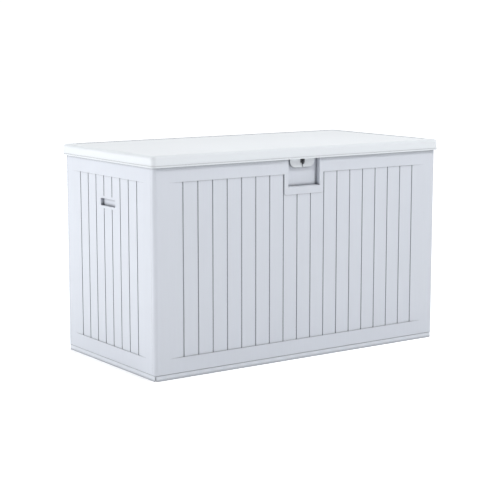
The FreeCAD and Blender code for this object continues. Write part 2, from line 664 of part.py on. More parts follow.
def side_panel(doc, sizes, label, side):
    """The left (side -1) or right (side +1) panel, with room for its hand pocket and a strut bracket."""
    body = new_body(doc, label)
    face = sizes.half_x * side
    inner = sizes.inner_x * side
    half_span = sizes.inner_y - sizes.panel_gap
    sketch = new_sketch(body, "XY_Plane", sizes.seat_z)
    draw_rectangle(sketch, sorted((face, inner), key=lambda size: size.value), (-half_span, half_span))
    pad(body, sketch, sizes.wall_height, 1)
    cut_cells(body, sizes, "YZ_Plane", inner, side, half_span * 2, sizes.side_cell_columns, sizes.end_flange,
              sizes.side_panel_depth - sizes.panel_skin)
    cut_boards(body, sizes, sizes.half_x, side, False, sizes.side_pitch, sizes.side_grooves)

    # The plain border around the hand pocket interrupts the two middle grooves.
    skin_x = (sizes.half_x - sizes.panel_skin) * side
    sketch = new_sketch(body, "YZ_Plane", skin_x)
    draw_rectangle(sketch, *around_pocket(sizes, sizes.pocket_border))
    pad(body, sketch, sizes.panel_skin - sizes.field_recess, side)
    sketch = new_sketch(body, "YZ_Plane", skin_x)
    draw_rectangle(sketch, *around_pocket(sizes, sizes.recess_wall + sizes.panel_gap))
    pocket(body, sketch, sizes.side_panel_depth - sizes.panel_skin, -side)
    sketch = new_sketch(body, "YZ_Plane", face)
    draw_rectangle(sketch, *around_pocket(sizes, 0), sizes.pocket_radius)
    pocket(body, sketch, sizes.panel_skin, -side)

    # The solid seat of the strut bracket.
    seat_y = sizes.bracket_width / 2 + sizes.panel_rib
    seat_z = sizes.bracket_height / 2 + sizes.panel_rib
    sketch = new_sketch(body, "YZ_Plane", inner)
    draw_rectangle(sketch, (sizes.lower_y - seat_y, sizes.lower_y + seat_y),
                   (sizes.lower_z - seat_z, sizes.lower_z + seat_z))
    pad(body, sketch, sizes.side_panel_depth - sizes.panel_skin, side)
    cut_holes(body, "YZ_Plane", inner, sizes.bracket_screw, side, sizes.screw_hole, body_bracket_screws(sizes))

    holes = [(corner_screw_x(sizes) * side, height) for height in screw_heights(sizes)]
    for end in (-1, 1):
        cut_holes(body, "XZ_Plane", half_span * end, sizes.end_flange, -end, sizes.screw_hole, holes)
    seats = [(x * side, y) for x, y in base_screw_points(sizes)[1]]
    cut_holes(body, "XY_Plane", sizes.seat_z, sizes.bottom_flange, 1, sizes.screw_hole, seats)
    return body


# ---------------------------------------------------------------------------------------------------------------
# Base
# ---------------------------------------------------------------------------------------------------------------

def base_panel(doc, sizes):
    """The floor: a slab with a shadow joint, a seat for the panels and a raised, ribbed middle."""
    body = new_body(doc, "base_panel")
    slab_x = sizes.half_x - sizes.slab_inset
    slab_y = sizes.half_y - sizes.slab_inset
    radius = sizes.corner_radius - sizes.slab_inset
    sketch = new_sketch(body, "XY_Plane", 0)
    draw_rectangle(sketch, (-slab_x, slab_x), (-slab_y, slab_y), radius)
    pad(body, sketch, sizes.slab_height, 1)
    joint_x = sizes.half_x - sizes.shadow_inset
    joint_y = sizes.half_y - sizes.shadow_inset
    sketch = new_sketch(body, "XY_Plane", sizes.slab_height)
    draw_rectangle(sketch, (-joint_x, joint_x), (-joint_y, joint_y), sizes.corner_radius - sizes.shadow_inset)
    pad(body, sketch, sizes.shadow_gap, 1)
    tray_x = sizes.inner_x - sizes.tray_gap
    tray_y = sizes.inner_y - sizes.tray_gap
    sketch = new_sketch(body, "XY_Plane", sizes.seat_z)
    draw_rectangle(sketch, (-tray_x, tray_x), (-tray_y, tray_y))
    pad(body, sketch, sizes.tray_rise, 1)

    # The cells under the floor.
    rib = sizes.base_rib
    cell_x = ((tray_x - sizes.base_skin) * 2 + rib) / sizes.base_columns - rib
    cell_y = ((tray_y - sizes.base_skin) * 2 + rib) / sizes.base_rows - rib
    start_x = -tray_x + sizes.base_skin
    start_y = -tray_y + sizes.base_skin
    sketch = new_sketch(body, "XY_Plane", 0)
    draw_rectangle(sketch, (start_x, start_x + cell_x), (start_y, start_y + cell_y))
    cell = pocket(body, sketch, sizes.seat_z + sizes.tray_rise - sizes.base_skin, 1)
    pattern(body, cell, [("X_Axis", cell_x + rib, sizes.base_columns), ("Y_Axis", cell_y + rib, sizes.base_rows)])

    # The channel under the panels' seat, where the base screws go in.
    outer_x = sizes.half_x - sizes.side_panel_depth / 2 + sizes.channel_width / 2
    outer_y = sizes.half_y - sizes.long_panel_depth / 2 + sizes.channel_width / 2
    width = sizes.channel_width
    sketch = new_sketch(body, "XY_Plane", 0)
    draw_rectangle(sketch, (-outer_x, outer_x), (-outer_y, outer_y))
    draw_rectangle(sketch, (-outer_x + width, outer_x - width), (-outer_y + width, outer_y - width))
    pocket(body, sketch, sizes.seat_z - sizes.seat_skin, 1)
    long_points, side_points = base_screw_points(sizes)
    points = [(x, y * side) for side in (-1, 1) for x, y in long_points]
    points += [(x * side, y) for side in (-1, 1) for x, y in side_points]
    cut_holes(body, "XY_Plane", sizes.seat_z, sizes.seat_skin, -1, sizes.screw_hole, points)
    return body


# ---------------------------------------------------------------------------------------------------------------
# Lid
# ---------------------------------------------------------------------------------------------------------------

def liner_screw_points(sizes):
    """Outside the ribbed part of the liner, each beside the middle of a field between two ribs."""
    row_y = sizes.half_y - sizes.liner_margin / 2
    return [(sizes.liner_pitch * step, row_y * row) for row in (-1, 1) for step in (-3, -1, 1, 3)]


def lid_outside(doc, sizes):
    """The solid form of the lid: a skirt with a lip along its lower edge, a rounded top edge, a slightly sunk
    middle, and notches in the rear skirt that clear the hinges."""
    body = new_body(doc, "lid_outside")
    sketch = new_sketch(body, "XY_Plane", sizes.rim_z)
    draw_rectangle(sketch, (-sizes.skirt_x, sizes.skirt_x), (-sizes.skirt_y, sizes.skirt_y), sizes.lid_radius)
    pad(body, sketch, sizes.lid_height, 1)

    def on_top_edge(edge):
        return near(edge.BoundBox.ZMin, sizes.lid_top) and near(edge.BoundBox.ZMax, sizes.lid_top)

    fillet(doc, body, sizes.lid_edge_radius, on_top_edge)
    sketch = new_sketch(body, "XY_Plane", sizes.rim_z)
    lip_radius = sizes.lid_radius + sizes.bead_proud
    draw_rectangle(sketch, (-sizes.lid_x, sizes.lid_x), (-sizes.lid_y, sizes.lid_y), lip_radius)
    pad(body, sketch, sizes.bead_height, 1)
    border_x = sizes.skirt_x - sizes.top_border
    border_y = sizes.skirt_y - sizes.top_border
    sketch = new_sketch(body, "XY_Plane", sizes.lid_top)
    draw_rectangle(sketch, (-border_x, border_x), (-border_y, border_y), sizes.border_radius)
    pocket(body, sketch, sizes.top_step, -1)
    half = sizes.hinge_width / 2 + sizes.notch_gap
    sketch = new_sketch(body, "XZ_Plane", sizes.lid_y)
    for x in hinge_places(sizes):
        draw_rectangle(sketch, (x - half, x + half), (sizes.rim_z, sizes.rim_z + sizes.notch_height))
    pocket(body, sketch, sizes.lid_overhang, -1)
    return body


def lid_inside(doc, sizes):
    """The hollow of the lid, rounded like its outside, less the bosses that take the liner's screws."""
    body = new_body(doc, "lid_inside")
    inside_x = sizes.skirt_x - sizes.lid_skin
    inside_y = sizes.skirt_y - sizes.lid_skin
    sketch = new_sketch(body, "XY_Plane", sizes.rim_z)
    draw_rectangle(sketch, (-inside_x, inside_x), (-inside_y, inside_y), sizes.lid_radius - sizes.lid_skin)
    pad(body, sketch, sizes.lid_ceiling - sizes.rim_z, 1)

    def on_ceiling_edge(edge):
        return near(edge.BoundBox.ZMin, sizes.lid_ceiling) and near(edge.BoundBox.ZMax, sizes.lid_ceiling)

    fillet(doc, body, sizes.lid_edge_radius - sizes.lid_skin, on_ceiling_edge)
    sketch = new_sketch(body, "XY_Plane", sizes.lid_ceiling)
    for x, y in liner_screw_points(sizes):
        draw_circle(sketch, x, y, sizes.boss_radius)
        draw_circle(sketch, x, y, sizes.screw_hole)
    pocket(body, sketch, sizes.lid_ceiling - sizes.liner_top, -1)
    return body


def lid_shell(doc, sizes):
    return combine(doc, "Cut", "lid_shell", lid_outside(doc, sizes), lid_inside(doc, sizes))


def lid_liner(doc, sizes):
    """The inner lid panel, ribbed underneath, with bosses for what is screwed to it and ribs that hold the bars."""
    body = new_body(doc, "lid_liner")
    half_x = sizes.skirt_x - sizes.lid_skin - sizes.liner_gap
    half_y = sizes.skirt_y - sizes.lid_skin - sizes.liner_gap
    sketch = new_sketch(body, "XY_Plane", sizes.liner_z)
    radius = sizes.lid_radius - sizes.lid_skin - sizes.liner_gap
    draw_rectangle(sketch, (-half_x, half_x), (-half_y, half_y), radius)
    pad(body, sketch, sizes.liner_skin, 1)

    ribs_x = sizes.ribs_x
    ribs_y = sizes.ribs_y
    rib = sizes.liner_rib
    sketch = new_sketch(body, "XY_Plane", sizes.liner_z)
    draw_rectangle(sketch, (-ribs_x, -ribs_x + rib), (-ribs_y, ribs_y))
    across = pad(body, sketch, sizes.liner_rib_depth, -1)
    pattern(body, across, [("X_Axis", sizes.liner_pitch, sizes.liner_columns + 1)])
    sketch = new_sketch(body, "XY_Plane", sizes.liner_z)
    draw_rectangle(sketch, (-ribs_x, ribs_x), (-ribs_y, -ribs_y + rib))
    along = pad(body, sketch, sizes.liner_rib_depth, -1)
    pattern(body, along, [("Y_Axis", (ribs_y * 2 - rib) / sizes.liner_rows, sizes.liner_rows + 1)])

    sketch = new_sketch(body, "XY_Plane", sizes.liner_top)
    for centre_x, centre_y, width, depth in liner_bosses(sizes):
        draw_rectangle(sketch, (centre_x - width / 2, centre_x + width / 2),
                       (centre_y - depth / 2, centre_y + depth / 2))
    pad(body, sketch, sizes.liner_boss, 1)
    sketch = new_sketch(body, "XY_Plane", sizes.liner_top)
    half_bar = sizes.bar_size / 2 + sizes.bar_gap
    for side in (-1, 1):
        middle = sizes.bar_offset * side
        for edge in (-1, 1):
            near_edge = middle + half_bar * edge
            far_edge = near_edge + sizes.liner_skin * edge
            edges = sorted((near_edge, far_edge), key=lambda size: size.value)
            draw_rectangle(sketch, (-sizes.bar_length / 2, sizes.bar_length / 2), edges)
    pad(body, sketch, sizes.liner_rib_depth, 1)

    cut_holes(body, "XY_Plane", sizes.liner_z, sizes.liner_skin, 1, sizes.screw_hole, liner_screw_points(sizes))
    blind = lid_leaf_screws(sizes) + lid_bracket_screws(sizes) + tongue_screw_points(sizes)
    cut_holes(body, "XY_Plane", sizes.liner_z, sizes.liner_boss, 1, sizes.screw_hole, blind)
    return body


def liner_bosses(sizes):
    """Solid blocks on top of the liner over the hinges, the strut brackets and the tongue."""
    leaf_y = sizes.axis_y - sizes.leaf_screw_forward
    bosses = [(x, leaf_y, sizes.hinge_width, sizes.hinge_boss) for x in hinge_places(sizes)]
    flange_x = sizes.inner_x - sizes.bracket_thickness - sizes.bracket_flange / 2
    bosses += [(flange_x * side, sizes.upper_y, sizes.bracket_flange, sizes.bracket_width) for side in (-1, 1)]
    bosses.append((Size.of(0), tongue_foot_y(sizes), sizes.tongue_width, sizes.tongue_foot))
    return bosses


def support_bar(doc, sizes, label, side):
    """A square steel tube that keeps the lid from sagging."""
    outer = doc.addObject("Part::Box", f"{label}_outer")
    inner = doc.addObject("Part::Box", f"{label}_inner")
    for box, shrink in ((outer, Size.of(0)), (inner, sizes.bar_wall)):
        bind(box, "Length", sizes.bar_length)
        bind(box, "Width", sizes.bar_size - shrink * 2)
        bind(box, "Height", sizes.bar_size - shrink * 2)
        bind(box, "Placement.Base.x", -(sizes.bar_length / 2))
        bind(box, "Placement.Base.y", sizes.bar_offset * side - sizes.bar_size / 2 + shrink)
        bind(box, "Placement.Base.z", sizes.liner_top + shrink)
    return combine(doc, "Cut", label, outer, inner)


# ---------------------------------------------------------------------------------------------------------------
# Hinges
# ---------------------------------------------------------------------------------------------------------------

def hinge_places(sizes):
    return [sizes.hinge_spacing * step for step in (-1, 0, 1)]


def body_leaf_screws(sizes):
    """Screws of the leaf on the back panel, as (across from the hinge's middle, height)."""
    high = sizes.axis_z - sizes.leaf_screw_high
    low = sizes.axis_z - sizes.leaf_screw_low
    return [(-sizes.leaf_screw_across, high), (sizes.leaf_screw_across, high), (Size.of(0), low)]


def lid_leaf_screws(sizes):
    y = sizes.axis_y - sizes.leaf_screw_forward
    return [(x + sizes.leaf_screw_across * step, y) for x in hinge_places(sizes) for step in (-1, 0, 1)]


def body_leaf(doc, sizes, label, x):
    """The hinge leaf on the back panel with the two outer knuckles."""
    body = new_body(doc, label)
    half = sizes.hinge_width / 2
    mid = sizes.knuckle_share / 2
    sketch = new_sketch(body, "XZ_Plane", sizes.half_y)
    low = sizes.axis_z - sizes.leaf_drop
    throat = sizes.axis_z - sizes.knuckle_radius - sizes.throat_gap
    draw_outline(sketch, [(x - half, low, sizes.leaf_radius), (x + half, low, sizes.leaf_radius),
                          (x + half, sizes.axis_z), (x + mid, sizes.axis_z), (x + mid, throat),
                          (x - mid, throat), (x - mid, sizes.axis_z), (x - half, sizes.axis_z)])
    pad(body, sketch, sizes.leaf_thickness, 1)
    for start, end in ((x - half, x - mid), (x + mid, x + half)):
        sketch = new_sketch(body, "YZ_Plane", start)
        draw_circle(sketch, sizes.axis_y, sizes.axis_z, sizes.knuckle_radius)
        pad(body, sketch, end - start, 1)
    cut_holes(body, "YZ_Plane", x - half, sizes.hinge_width, 1, sizes.pin_radius, [(sizes.axis_y, sizes.axis_z)])
    holes = [(x + across, height) for across, height in body_leaf_screws(sizes)]
    cut_holes(body, "XZ_Plane", sizes.half_y, sizes.leaf_thickness, 1, sizes.screw_hole, holes)
    return body


def lid_leaf(doc, sizes, label, x, screws):
    """The cranked hinge leaf under the lid with the middle knuckle."""
    body = new_body(doc, label)
    half = sizes.hinge_width / 2
    mid = sizes.knuckle_share / 2 - sizes.knuckle_gap
    upright = sizes.axis_y - sizes.leaf_thickness
    under = sizes.liner_z - sizes.leaf_thickness
    front = sizes.axis_y - sizes.leaf_reach
    throat = sizes.axis_z + sizes.knuckle_radius + sizes.throat_gap
    sketch = new_sketch(body, "YZ_Plane", x - half)
    draw_outline(sketch, [(front, under), (upright, under, sizes.leaf_bend), (upright, throat),
                          (sizes.axis_y, throat),
                          (sizes.axis_y, sizes.liner_z, sizes.leaf_bend + sizes.leaf_thickness),
                          (front, sizes.liner_z)])
    pad(body, sketch, sizes.hinge_width, 1)
    sketch = new_sketch(body, "YZ_Plane", x - mid)
    draw_rectangle(sketch, (upright, sizes.axis_y), (sizes.axis_z, throat))
    pad(body, sketch, mid * 2, 1)
    sketch = new_sketch(body, "YZ_Plane", x - mid)
    draw_circle(sketch, sizes.axis_y, sizes.axis_z, sizes.knuckle_radius)
    pad(body, sketch, mid * 2, 1)
    cut_holes(body, "YZ_Plane", x - mid, mid * 2, 1, sizes.pin_radius + sizes.pin_clearance,
              [(sizes.axis_y, sizes.axis_z)])
    cut_holes(body, "XY_Plane", under, sizes.leaf_thickness, 1, sizes.screw_hole, screws)
    return body


def hinge_pin(doc, sizes, label, x):
    """A steel pin, riveted over at both ends."""
    half = sizes.hinge_width / 2
    stretches = [(x - half - sizes.pin_head, sizes.pin_head_radius, sizes.pin_head),
                 (x - half, sizes.pin_radius, sizes.hinge_width),
                 (x + half, sizes.pin_head_radius, sizes.pin_head)]
    pieces = [bar_along_x(doc, f"{label}_{index}", start, sizes.axis_y, sizes.axis_z, radius, length)
              for index, (start, radius, length) in enumerate(stretches)]
    return combine(doc, "Fuse", label, combine(doc, "Fuse", f"{label}_part", pieces[0], pieces[1]), pieces[2])


# ---------------------------------------------------------------------------------------------------------------
# Part primitives
# ---------------------------------------------------------------------------------------------------------------

def combine(doc, kind, label, base, tool):
    result = doc.addObject(f"Part::{kind}", label)
    result.Base = base
    result.Tool = tool
    result.Label = label
    return result


def bar_along_x(doc, name, x, y, z, radius, length):
    bar = doc.addObject("Part::Cylinder", name)
    bar.Placement = FreeCAD.Placement(FreeCAD.Vector(), FreeCAD.Rotation(FreeCAD.Vector(0, 1, 0), 90))
    bind(bar, "Radius", radius)
    bind(bar, "Height", length)
    for axis, size in zip("xyz", (x, y, z)):
        bind(bar, f"Placement.Base.{axis}", size)
    return bar


def ball(doc, name, side, x, y, z, radius):
    """A ball on the strut side given. The seam of its surface faces the middle of the box, away from the stem."""
    result = doc.addObject("Part::Sphere", name)
    turn = 180 if side > 0 else 0
    result.Placement = FreeCAD.Placement(FreeCAD.Vector(), FreeCAD.Rotation(FreeCAD.Vector(0, 0, 1), turn))
    bind(result, "Radius", radius)
    for axis, size in zip("xyz", (x, y, z)):
        bind(result, f"Placement.Base.{axis}", size)
    return result


def place_on_strut(thing, sizes, x, end, distance):
    """Stands a piece on the strut's axis. end is "lower" or "upper", and distance runs from that ball's centre."""
    at_lower = end == "lower"
    lean = sizes.strut_lean if at_lower else sizes.strut_lean + 180
    y, z = (sizes.lower_y, sizes.lower_z) if at_lower else (sizes.upper_y, sizes.upper_z)
    # The rotation needs an angle to keep its axis, and the expression then drives that angle.
    thing.Placement = FreeCAD.Placement(FreeCAD.Vector(), FreeCAD.Rotation(FreeCAD.Vector(1, 0, 0), lean.value))
    bind(thing, "Placement.Rotation.Angle", lean)
    bind(thing, "Placement.Base.x", x)
    bind(thing, "Placement.Base.y", y - sine(lean) * distance)
    bind(thing, "Placement.Base.z", z + cosine(lean) * distance)


def strut_bar(doc, sizes, name, x, end, start, radius, length):
    """A round bar on the strut's axis."""
    bar = doc.addObject("Part::Cylinder", name)
    bind(bar, "Radius", radius)
    bind(bar, "Height", length)
    place_on_strut(bar, sizes, x, end, start)
    return bar


# ---------------------------------------------------------------------------------------------------------------
# Gas struts
# ---------------------------------------------------------------------------------------------------------------

def strut_tube(doc, sizes, label, x):
    outer = strut_bar(doc, sizes, f"{label}_outer", x, "lower", sizes.socket_reach, sizes.tube_radius,
                      sizes.tube_length)
    hollow = strut_bar(doc, sizes, f"{label}_hollow", x, "lower", sizes.socket_reach + sizes.tube_end,
                       sizes.tube_radius - sizes.tube_wall, sizes.tube_length - sizes.tube_end)
    return combine(doc, "Cut", label, outer, hollow)


def strut_gland(doc, sizes, label, x):
    start = sizes.socket_reach + sizes.tube_length - sizes.gland_length
    ring = strut_bar(doc, sizes, f"{label}_ring", x, "lower", start, sizes.tube_radius - sizes.tube_wall,
                     sizes.gland_length)
    hole = strut_bar(doc, sizes, f"{label}_hole", x, "lower", start, sizes.rod_radius + sizes.slide_clearance,
                     sizes.gland_length)
    return combine(doc, "Cut", label, ring, hole)


def strut_rod(doc, sizes, label, x):
    return strut_bar(doc, sizes, label, x, "upper", sizes.socket_reach, sizes.rod_radius, sizes.rod_length)


def strut_piston(doc, sizes, label, x):
    """The piston sits on the last stretch of the rod."""
    start = sizes.socket_reach + sizes.rod_length - sizes.piston_length
    radius = sizes.tube_radius - sizes.tube_wall - sizes.piston_clearance
    disc = strut_bar(doc, sizes, f"{label}_disc", x, "upper", start, radius, sizes.piston_length)
    hole = strut_bar(doc, sizes, f"{label}_hole", x, "upper", start, sizes.rod_radius, sizes.piston_length)
    return combine(doc, "Cut", label, disc, hole)


def ball_socket(doc, sizes, label, x, side, end):
    """A plastic socket that snaps over the ball, open towards the ball's stem."""
    y, z = (sizes.lower_y, sizes.lower_z) if end == "lower" else (sizes.upper_y, sizes.upper_z)
    half = sizes.socket_width / 2
    drum = bar_along_x(doc, f"{label}_drum", x - half, y, z, sizes.socket_radius, sizes.socket_width)
    neck = strut_bar(doc, sizes, f"{label}_neck", x, end, 0, sizes.socket_neck, sizes.socket_reach)
    cavity = ball(doc, f"{label}_cavity", side, x, y, z, sizes.ball_radius + sizes.slide_clearance)
    mouth_x = x if side > 0 else x - sizes.socket_width
    mouth = bar_along_x(doc, f"{label}_mouth", mouth_x, y, z, sizes.stem_radius + sizes.mouth_clearance,
                        sizes.socket_width)
    solid = combine(doc, "Fuse", f"{label}_solid", drum, neck)
    hollow = combine(doc, "Fuse", f"{label}_hollow", cavity, mouth)
    return combine(doc, "Cut", label, solid, hollow)


def ball_stud(doc, sizes, name, side, y, z):
    """The stem runs from the bracket's face to the ball, and its foot shows as a rivet on that face."""
    face = sizes.inner_x - sizes.bracket_thickness
    stem_length = face - sizes.strut_x
    start = -face if side < 0 else sizes.strut_x
    stem = bar_along_x(doc, f"{name}_stem", start, y, z, sizes.stem_radius, stem_length)
    foot_length = sizes.bracket_thickness
    foot_start = -face if side < 0 else face - foot_length
    foot = bar_along_x(doc, f"{name}_foot", foot_start, y, z, sizes.foot_radius, foot_length)
    head = ball(doc, f"{name}_ball", side, sizes.strut_x * side, y, z, sizes.ball_radius)
    return combine(doc, "Fuse", f"{name}_stud", combine(doc, "Fuse", f"{name}_shank", stem, foot), head)


def body_bracket_screws(sizes):
    """Screws of the bracket on a side panel, as (y, z)."""
    rise = sizes.bracket_height / 2 - sizes.bracket_tab
    return [(sizes.lower_y, sizes.lower_z + rise * step) for step in (-1, 1)]


def lid_bracket_screws(sizes):
    x = sizes.inner_x - sizes.bracket_thickness - sizes.bracket_flange + sizes.flange_screw_inset
    reach = sizes.bracket_width / 2 - sizes.bracket_tab
    return [(x * side, sizes.upper_y + reach * step) for side in (-1, 1) for step in (-1, 1)]


def body_bracket(doc, sizes, label, side):
    """The steel plate with a ball stud on a side panel."""
    plate = new_body(doc, f"{label}_plate")
    sketch = new_sketch(plate, "YZ_Plane", sizes.inner_x * side)
    half_y = sizes.bracket_width / 2
    half_z = sizes.bracket_height / 2
    draw_rectangle(sketch, (sizes.lower_y - half_y, sizes.lower_y + half_y),
                   (sizes.lower_z - half_z, sizes.lower_z + half_z), sizes.bracket_tab)
    pad(plate, sketch, sizes.bracket_thickness, -side)
    cut_holes(plate, "YZ_Plane", sizes.inner_x * side, sizes.bracket_thickness, -side, sizes.screw_hole,
              body_bracket_screws(sizes))
    stud = ball_stud(doc, sizes, label, side, sizes.lower_y, sizes.lower_z)
    return combine(doc, "Fuse", label, plate, stud)


def lid_bracket(doc, sizes, label, side):
    """The angled steel plate with a ball stud under the lid."""
    plate = new_body(doc, f"{label}_plate")
    half = sizes.bracket_width / 2
    outer = sizes.inner_x * side
    low = sizes.upper_z - sizes.bracket_tab
    sketch = new_sketch(plate, "YZ_Plane", outer)
    draw_outline(sketch, [(sizes.upper_y - sizes.bracket_tab, low), (sizes.upper_y + sizes.bracket_tab, low),
                          (sizes.upper_y + half, sizes.liner_z - sizes.bracket_thickness),
                          (sizes.upper_y + half, sizes.liner_z), (sizes.upper_y - half, sizes.liner_z),
                          (sizes.upper_y - half, sizes.liner_z - sizes.bracket_thickness)])
    pad(plate, sketch, sizes.bracket_thickness, -side)
    inner = outer - (sizes.bracket_thickness + sizes.bracket_flange) * side
    sketch = new_sketch(plate, "XY_Plane", sizes.liner_z - sizes.bracket_thickness)
    draw_rectangle(sketch, sorted((outer, inner), key=lambda size: size.value),
                   (sizes.upper_y - half, sizes.upper_y + half))
    pad(plate, sketch, sizes.bracket_thickness, 1)
    own_screws = [point for point in lid_bracket_screws(sizes) if point[0].value * side > 0]
    cut_holes(plate, "XY_Plane", sizes.liner_z, sizes.bracket_thickness, -1, sizes.screw_hole, own_screws)
    stud = ball_stud(doc, sizes, label, side, sizes.upper_y, sizes.upper_z)
    return combine(doc, "Fuse", label, plate, stud)


# ---------------------------------------------------------------------------------------------------------------
# Lock
# ---------------------------------------------------------------------------------------------------------------

def tongue_foot_y(sizes):
    return sizes.tongue_front + sizes.tongue_thickness + sizes.tongue_foot / 2


def tongue_screw_points(sizes):
    return [(sizes.tongue_screw_across * end, tongue_foot_y(sizes)) for end in (-1, 1)]


def staple_screw_points(sizes):
    height = sizes.rim_z - sizes.staple_top - sizes.staple_height / 2
    return [(sizes.staple_screw_across * end, height) for end in (-1, 1)]


def lock_tongue(doc, sizes):
    """The half-round tongue that hangs from the lid in front of the recess wall, with a slit for the staple."""
    body = new_body(doc, "lock_tongue")
    half = sizes.tongue_width / 2
    low = sizes.rim_z - sizes.tongue_drop
    sketch = new_sketch(body, "XZ_Plane", sizes.tongue_front)
    draw_outline(sketch, [(-half, low, sizes.tongue_radius), (half, low, sizes.tongue_radius),
                          (half, sizes.liner_z), (-half, sizes.liner_z)])
    pad(body, sketch, sizes.tongue_thickness, 1)
    rear = sizes.tongue_front + sizes.tongue_thickness + sizes.tongue_foot
    foot_height = sizes.liner_clearance - sizes.tongue_foot_gap
    sketch = new_sketch(body, "XY_Plane", sizes.liner_z)
    draw_rectangle(sketch, (-half, half), (sizes.tongue_front, rear), sizes.tongue_foot_radius)
    pad(body, sketch, foot_height, -1)
    sketch = new_sketch(body, "XZ_Plane", sizes.tongue_front)
    draw_rectangle(sketch, (-sizes.slit_half, sizes.slit_half), (low, sizes.slit_top))
    pocket(body, sketch, sizes.tongue_thickness, 1)
    cut_holes(body, "XY_Plane", sizes.liner_z, foot_height, -1, sizes.screw_hole, tongue_screw_points(sizes))
    return body


def tongue_escutcheon(doc, sizes):
    """The black steel plate that guards the slit, clipped to the tongue's front."""
    body = new_body(doc, "tongue_escutcheon")
    half = sizes.escutcheon_width / 2
    low = sizes.rim_z - sizes.escutcheon_height
    top = sizes.rim_z
    slit = sizes.slit_half
    slit_top = sizes.slit_top
    radius = sizes.escutcheon_radius
    sketch = new_sketch(body, "XZ_Plane", sizes.tongue_front)
    draw_outline(sketch, [(-half, low, radius), (-slit, low), (-slit, slit_top), (slit, slit_top), (slit, low),
                          (half, low, radius), (half, top), (-half, top)])
    pad(body, sketch, sizes.escutcheon_thickness, -1)
    return body


def lock_staple(doc, sizes):
    """The black steel staple on the recess wall, with an upright blade that has the padlock hole."""
    body = new_body(doc, "lock_staple")
    top = sizes.rim_z - sizes.staple_top
    low = top - sizes.staple_height
    half = sizes.staple_flange / 2
    sketch = new_sketch(body, "XZ_Plane", sizes.recess_back)
    draw_rectangle(sketch, (-half, half), (low, top), sizes.staple_radius)
    pad(body, sketch, sizes.staple_plate, -1)
    blade = sizes.staple_thickness / 2
    tip = -sizes.half_y + sizes.staple_setback
    middle = low + sizes.staple_height / 2
    sketch = new_sketch(body, "YZ_Plane", -blade)
    draw_outline(sketch, [(tip, low, sizes.staple_radius), (sizes.recess_back, low), (sizes.recess_back, top),
                          (tip, top, sizes.staple_radius)])
    pad(body, sketch, sizes.staple_thickness, 1)
    cut_holes(body, "YZ_Plane", -blade, sizes.staple_thickness, 1, sizes.padlock_radius,
              [(tip + sizes.padlock_inset, middle)])
    cut_holes(body, "XZ_Plane", sizes.recess_back, sizes.staple_plate, -1, sizes.screw_hole,
              staple_screw_points(sizes))
    return body


# ---------------------------------------------------------------------------------------------------------------
# Fasteners
# ---------------------------------------------------------------------------------------------------------------

def screw_master(doc, sizes, name, length):
    """One cross-head screw: the head's underside is at the origin and the shank runs down -Z."""
    head = doc.addObject("Part::Cylinder", f"{name}_head")
    bind(head, "Radius", sizes.screw_head_radius)
    bind(head, "Height", sizes.screw_head_height)
    shank = doc.addObject("Part::Cylinder", f"{name}_shank")
    bind(shank, "Radius", sizes.screw_radius)
    bind(shank, "Height", length)
    bind(shank, "Placement.Base.z", -length)
    recess = []
    for index, (width, depth) in enumerate(((sizes.screw_cross, sizes.screw_cross_width),
                                            (sizes.screw_cross_width, sizes.screw_cross))):
        slot = doc.addObject("Part::Box", f"{name}_slot{index}")
        bind(slot, "Length", width)
        bind(slot, "Width", depth)
        bind(slot, "Height", sizes.screw_cross_depth)
        bind(slot, "Placement.Base.x", -(width / 2))
        bind(slot, "Placement.Base.y", -(depth / 2))
        bind(slot, "Placement.Base.z", sizes.screw_head_height - sizes.screw_cross_depth)
        recess.append(slot)
    solid = combine(doc, "Fuse", f"{name}_solid", head, shank)
    return combine(doc, "Cut", name, solid, combine(doc, "Fuse", f"{name}_cross", *recess))


def screw_group(doc, sizes, label, length, seats):
    """Identical screws in one node. Each seat is the head's seat as (x, y, z) and the way the head faces."""
    master = screw_master(doc, sizes, f"{label}_one", length)
    links = []
    for index, (place, facing) in enumerate(seats):
        link = doc.addObject("App::Link", f"{label}_{index}")
        link.LinkedObject = master
        link.LinkTransform = False
        turn = FreeCAD.Rotation(FreeCAD.Vector(0, 0, 1), FreeCAD.Vector(*facing))
        link.Placement = FreeCAD.Placement(FreeCAD.Vector(), turn)
        for axis, size in zip("xyz", place):
            bind(link, f"Placement.Base.{axis}", size)
        links.append(link)
    group = doc.addObject("Part::Compound", label)
    group.Links = links
    group.Label = label
    return group


def corner_screws(doc, sizes):
    flange_y = sizes.inner_y - sizes.panel_gap - sizes.end_flange
    seats = [((corner_screw_x(sizes) * side, flange_y * end, height), (0, -end, 0))
             for side in (-1, 1) for end in (-1, 1) for height in screw_heights(sizes)]
    return screw_group(doc, sizes, "corner_screws", sizes.corner_screw, seats)


def base_screws(doc, sizes):
    level = sizes.seat_z - sizes.seat_skin
    long_points, side_points = base_screw_points(sizes)
    points = [(x, y * side) for side in (-1, 1) for x, y in long_points]
    points += [(x * side, y) for side in (-1, 1) for x, y in side_points]
    return screw_group(doc, sizes, "base_screws", sizes.base_screw, [((x, y, level), (0, 0, -1)) for x, y in points])


def hinge_screws(doc, sizes):
    leaf_face = sizes.half_y + sizes.leaf_thickness
    seats = [((x + across, leaf_face, height), (0, 1, 0))
             for x in hinge_places(sizes) for across, height in body_leaf_screws(sizes)]
    return screw_group(doc, sizes, "hinge_screws_back", sizes.hinge_screw, seats)


def lid_hinge_screws(doc, sizes):
    level = sizes.liner_z - sizes.leaf_thickness
    seats = [((x, y, level), (0, 0, -1)) for x, y in lid_leaf_screws(sizes)]
    return screw_group(doc, sizes, "hinge_screws_lid", sizes.hinge_screw, seats)


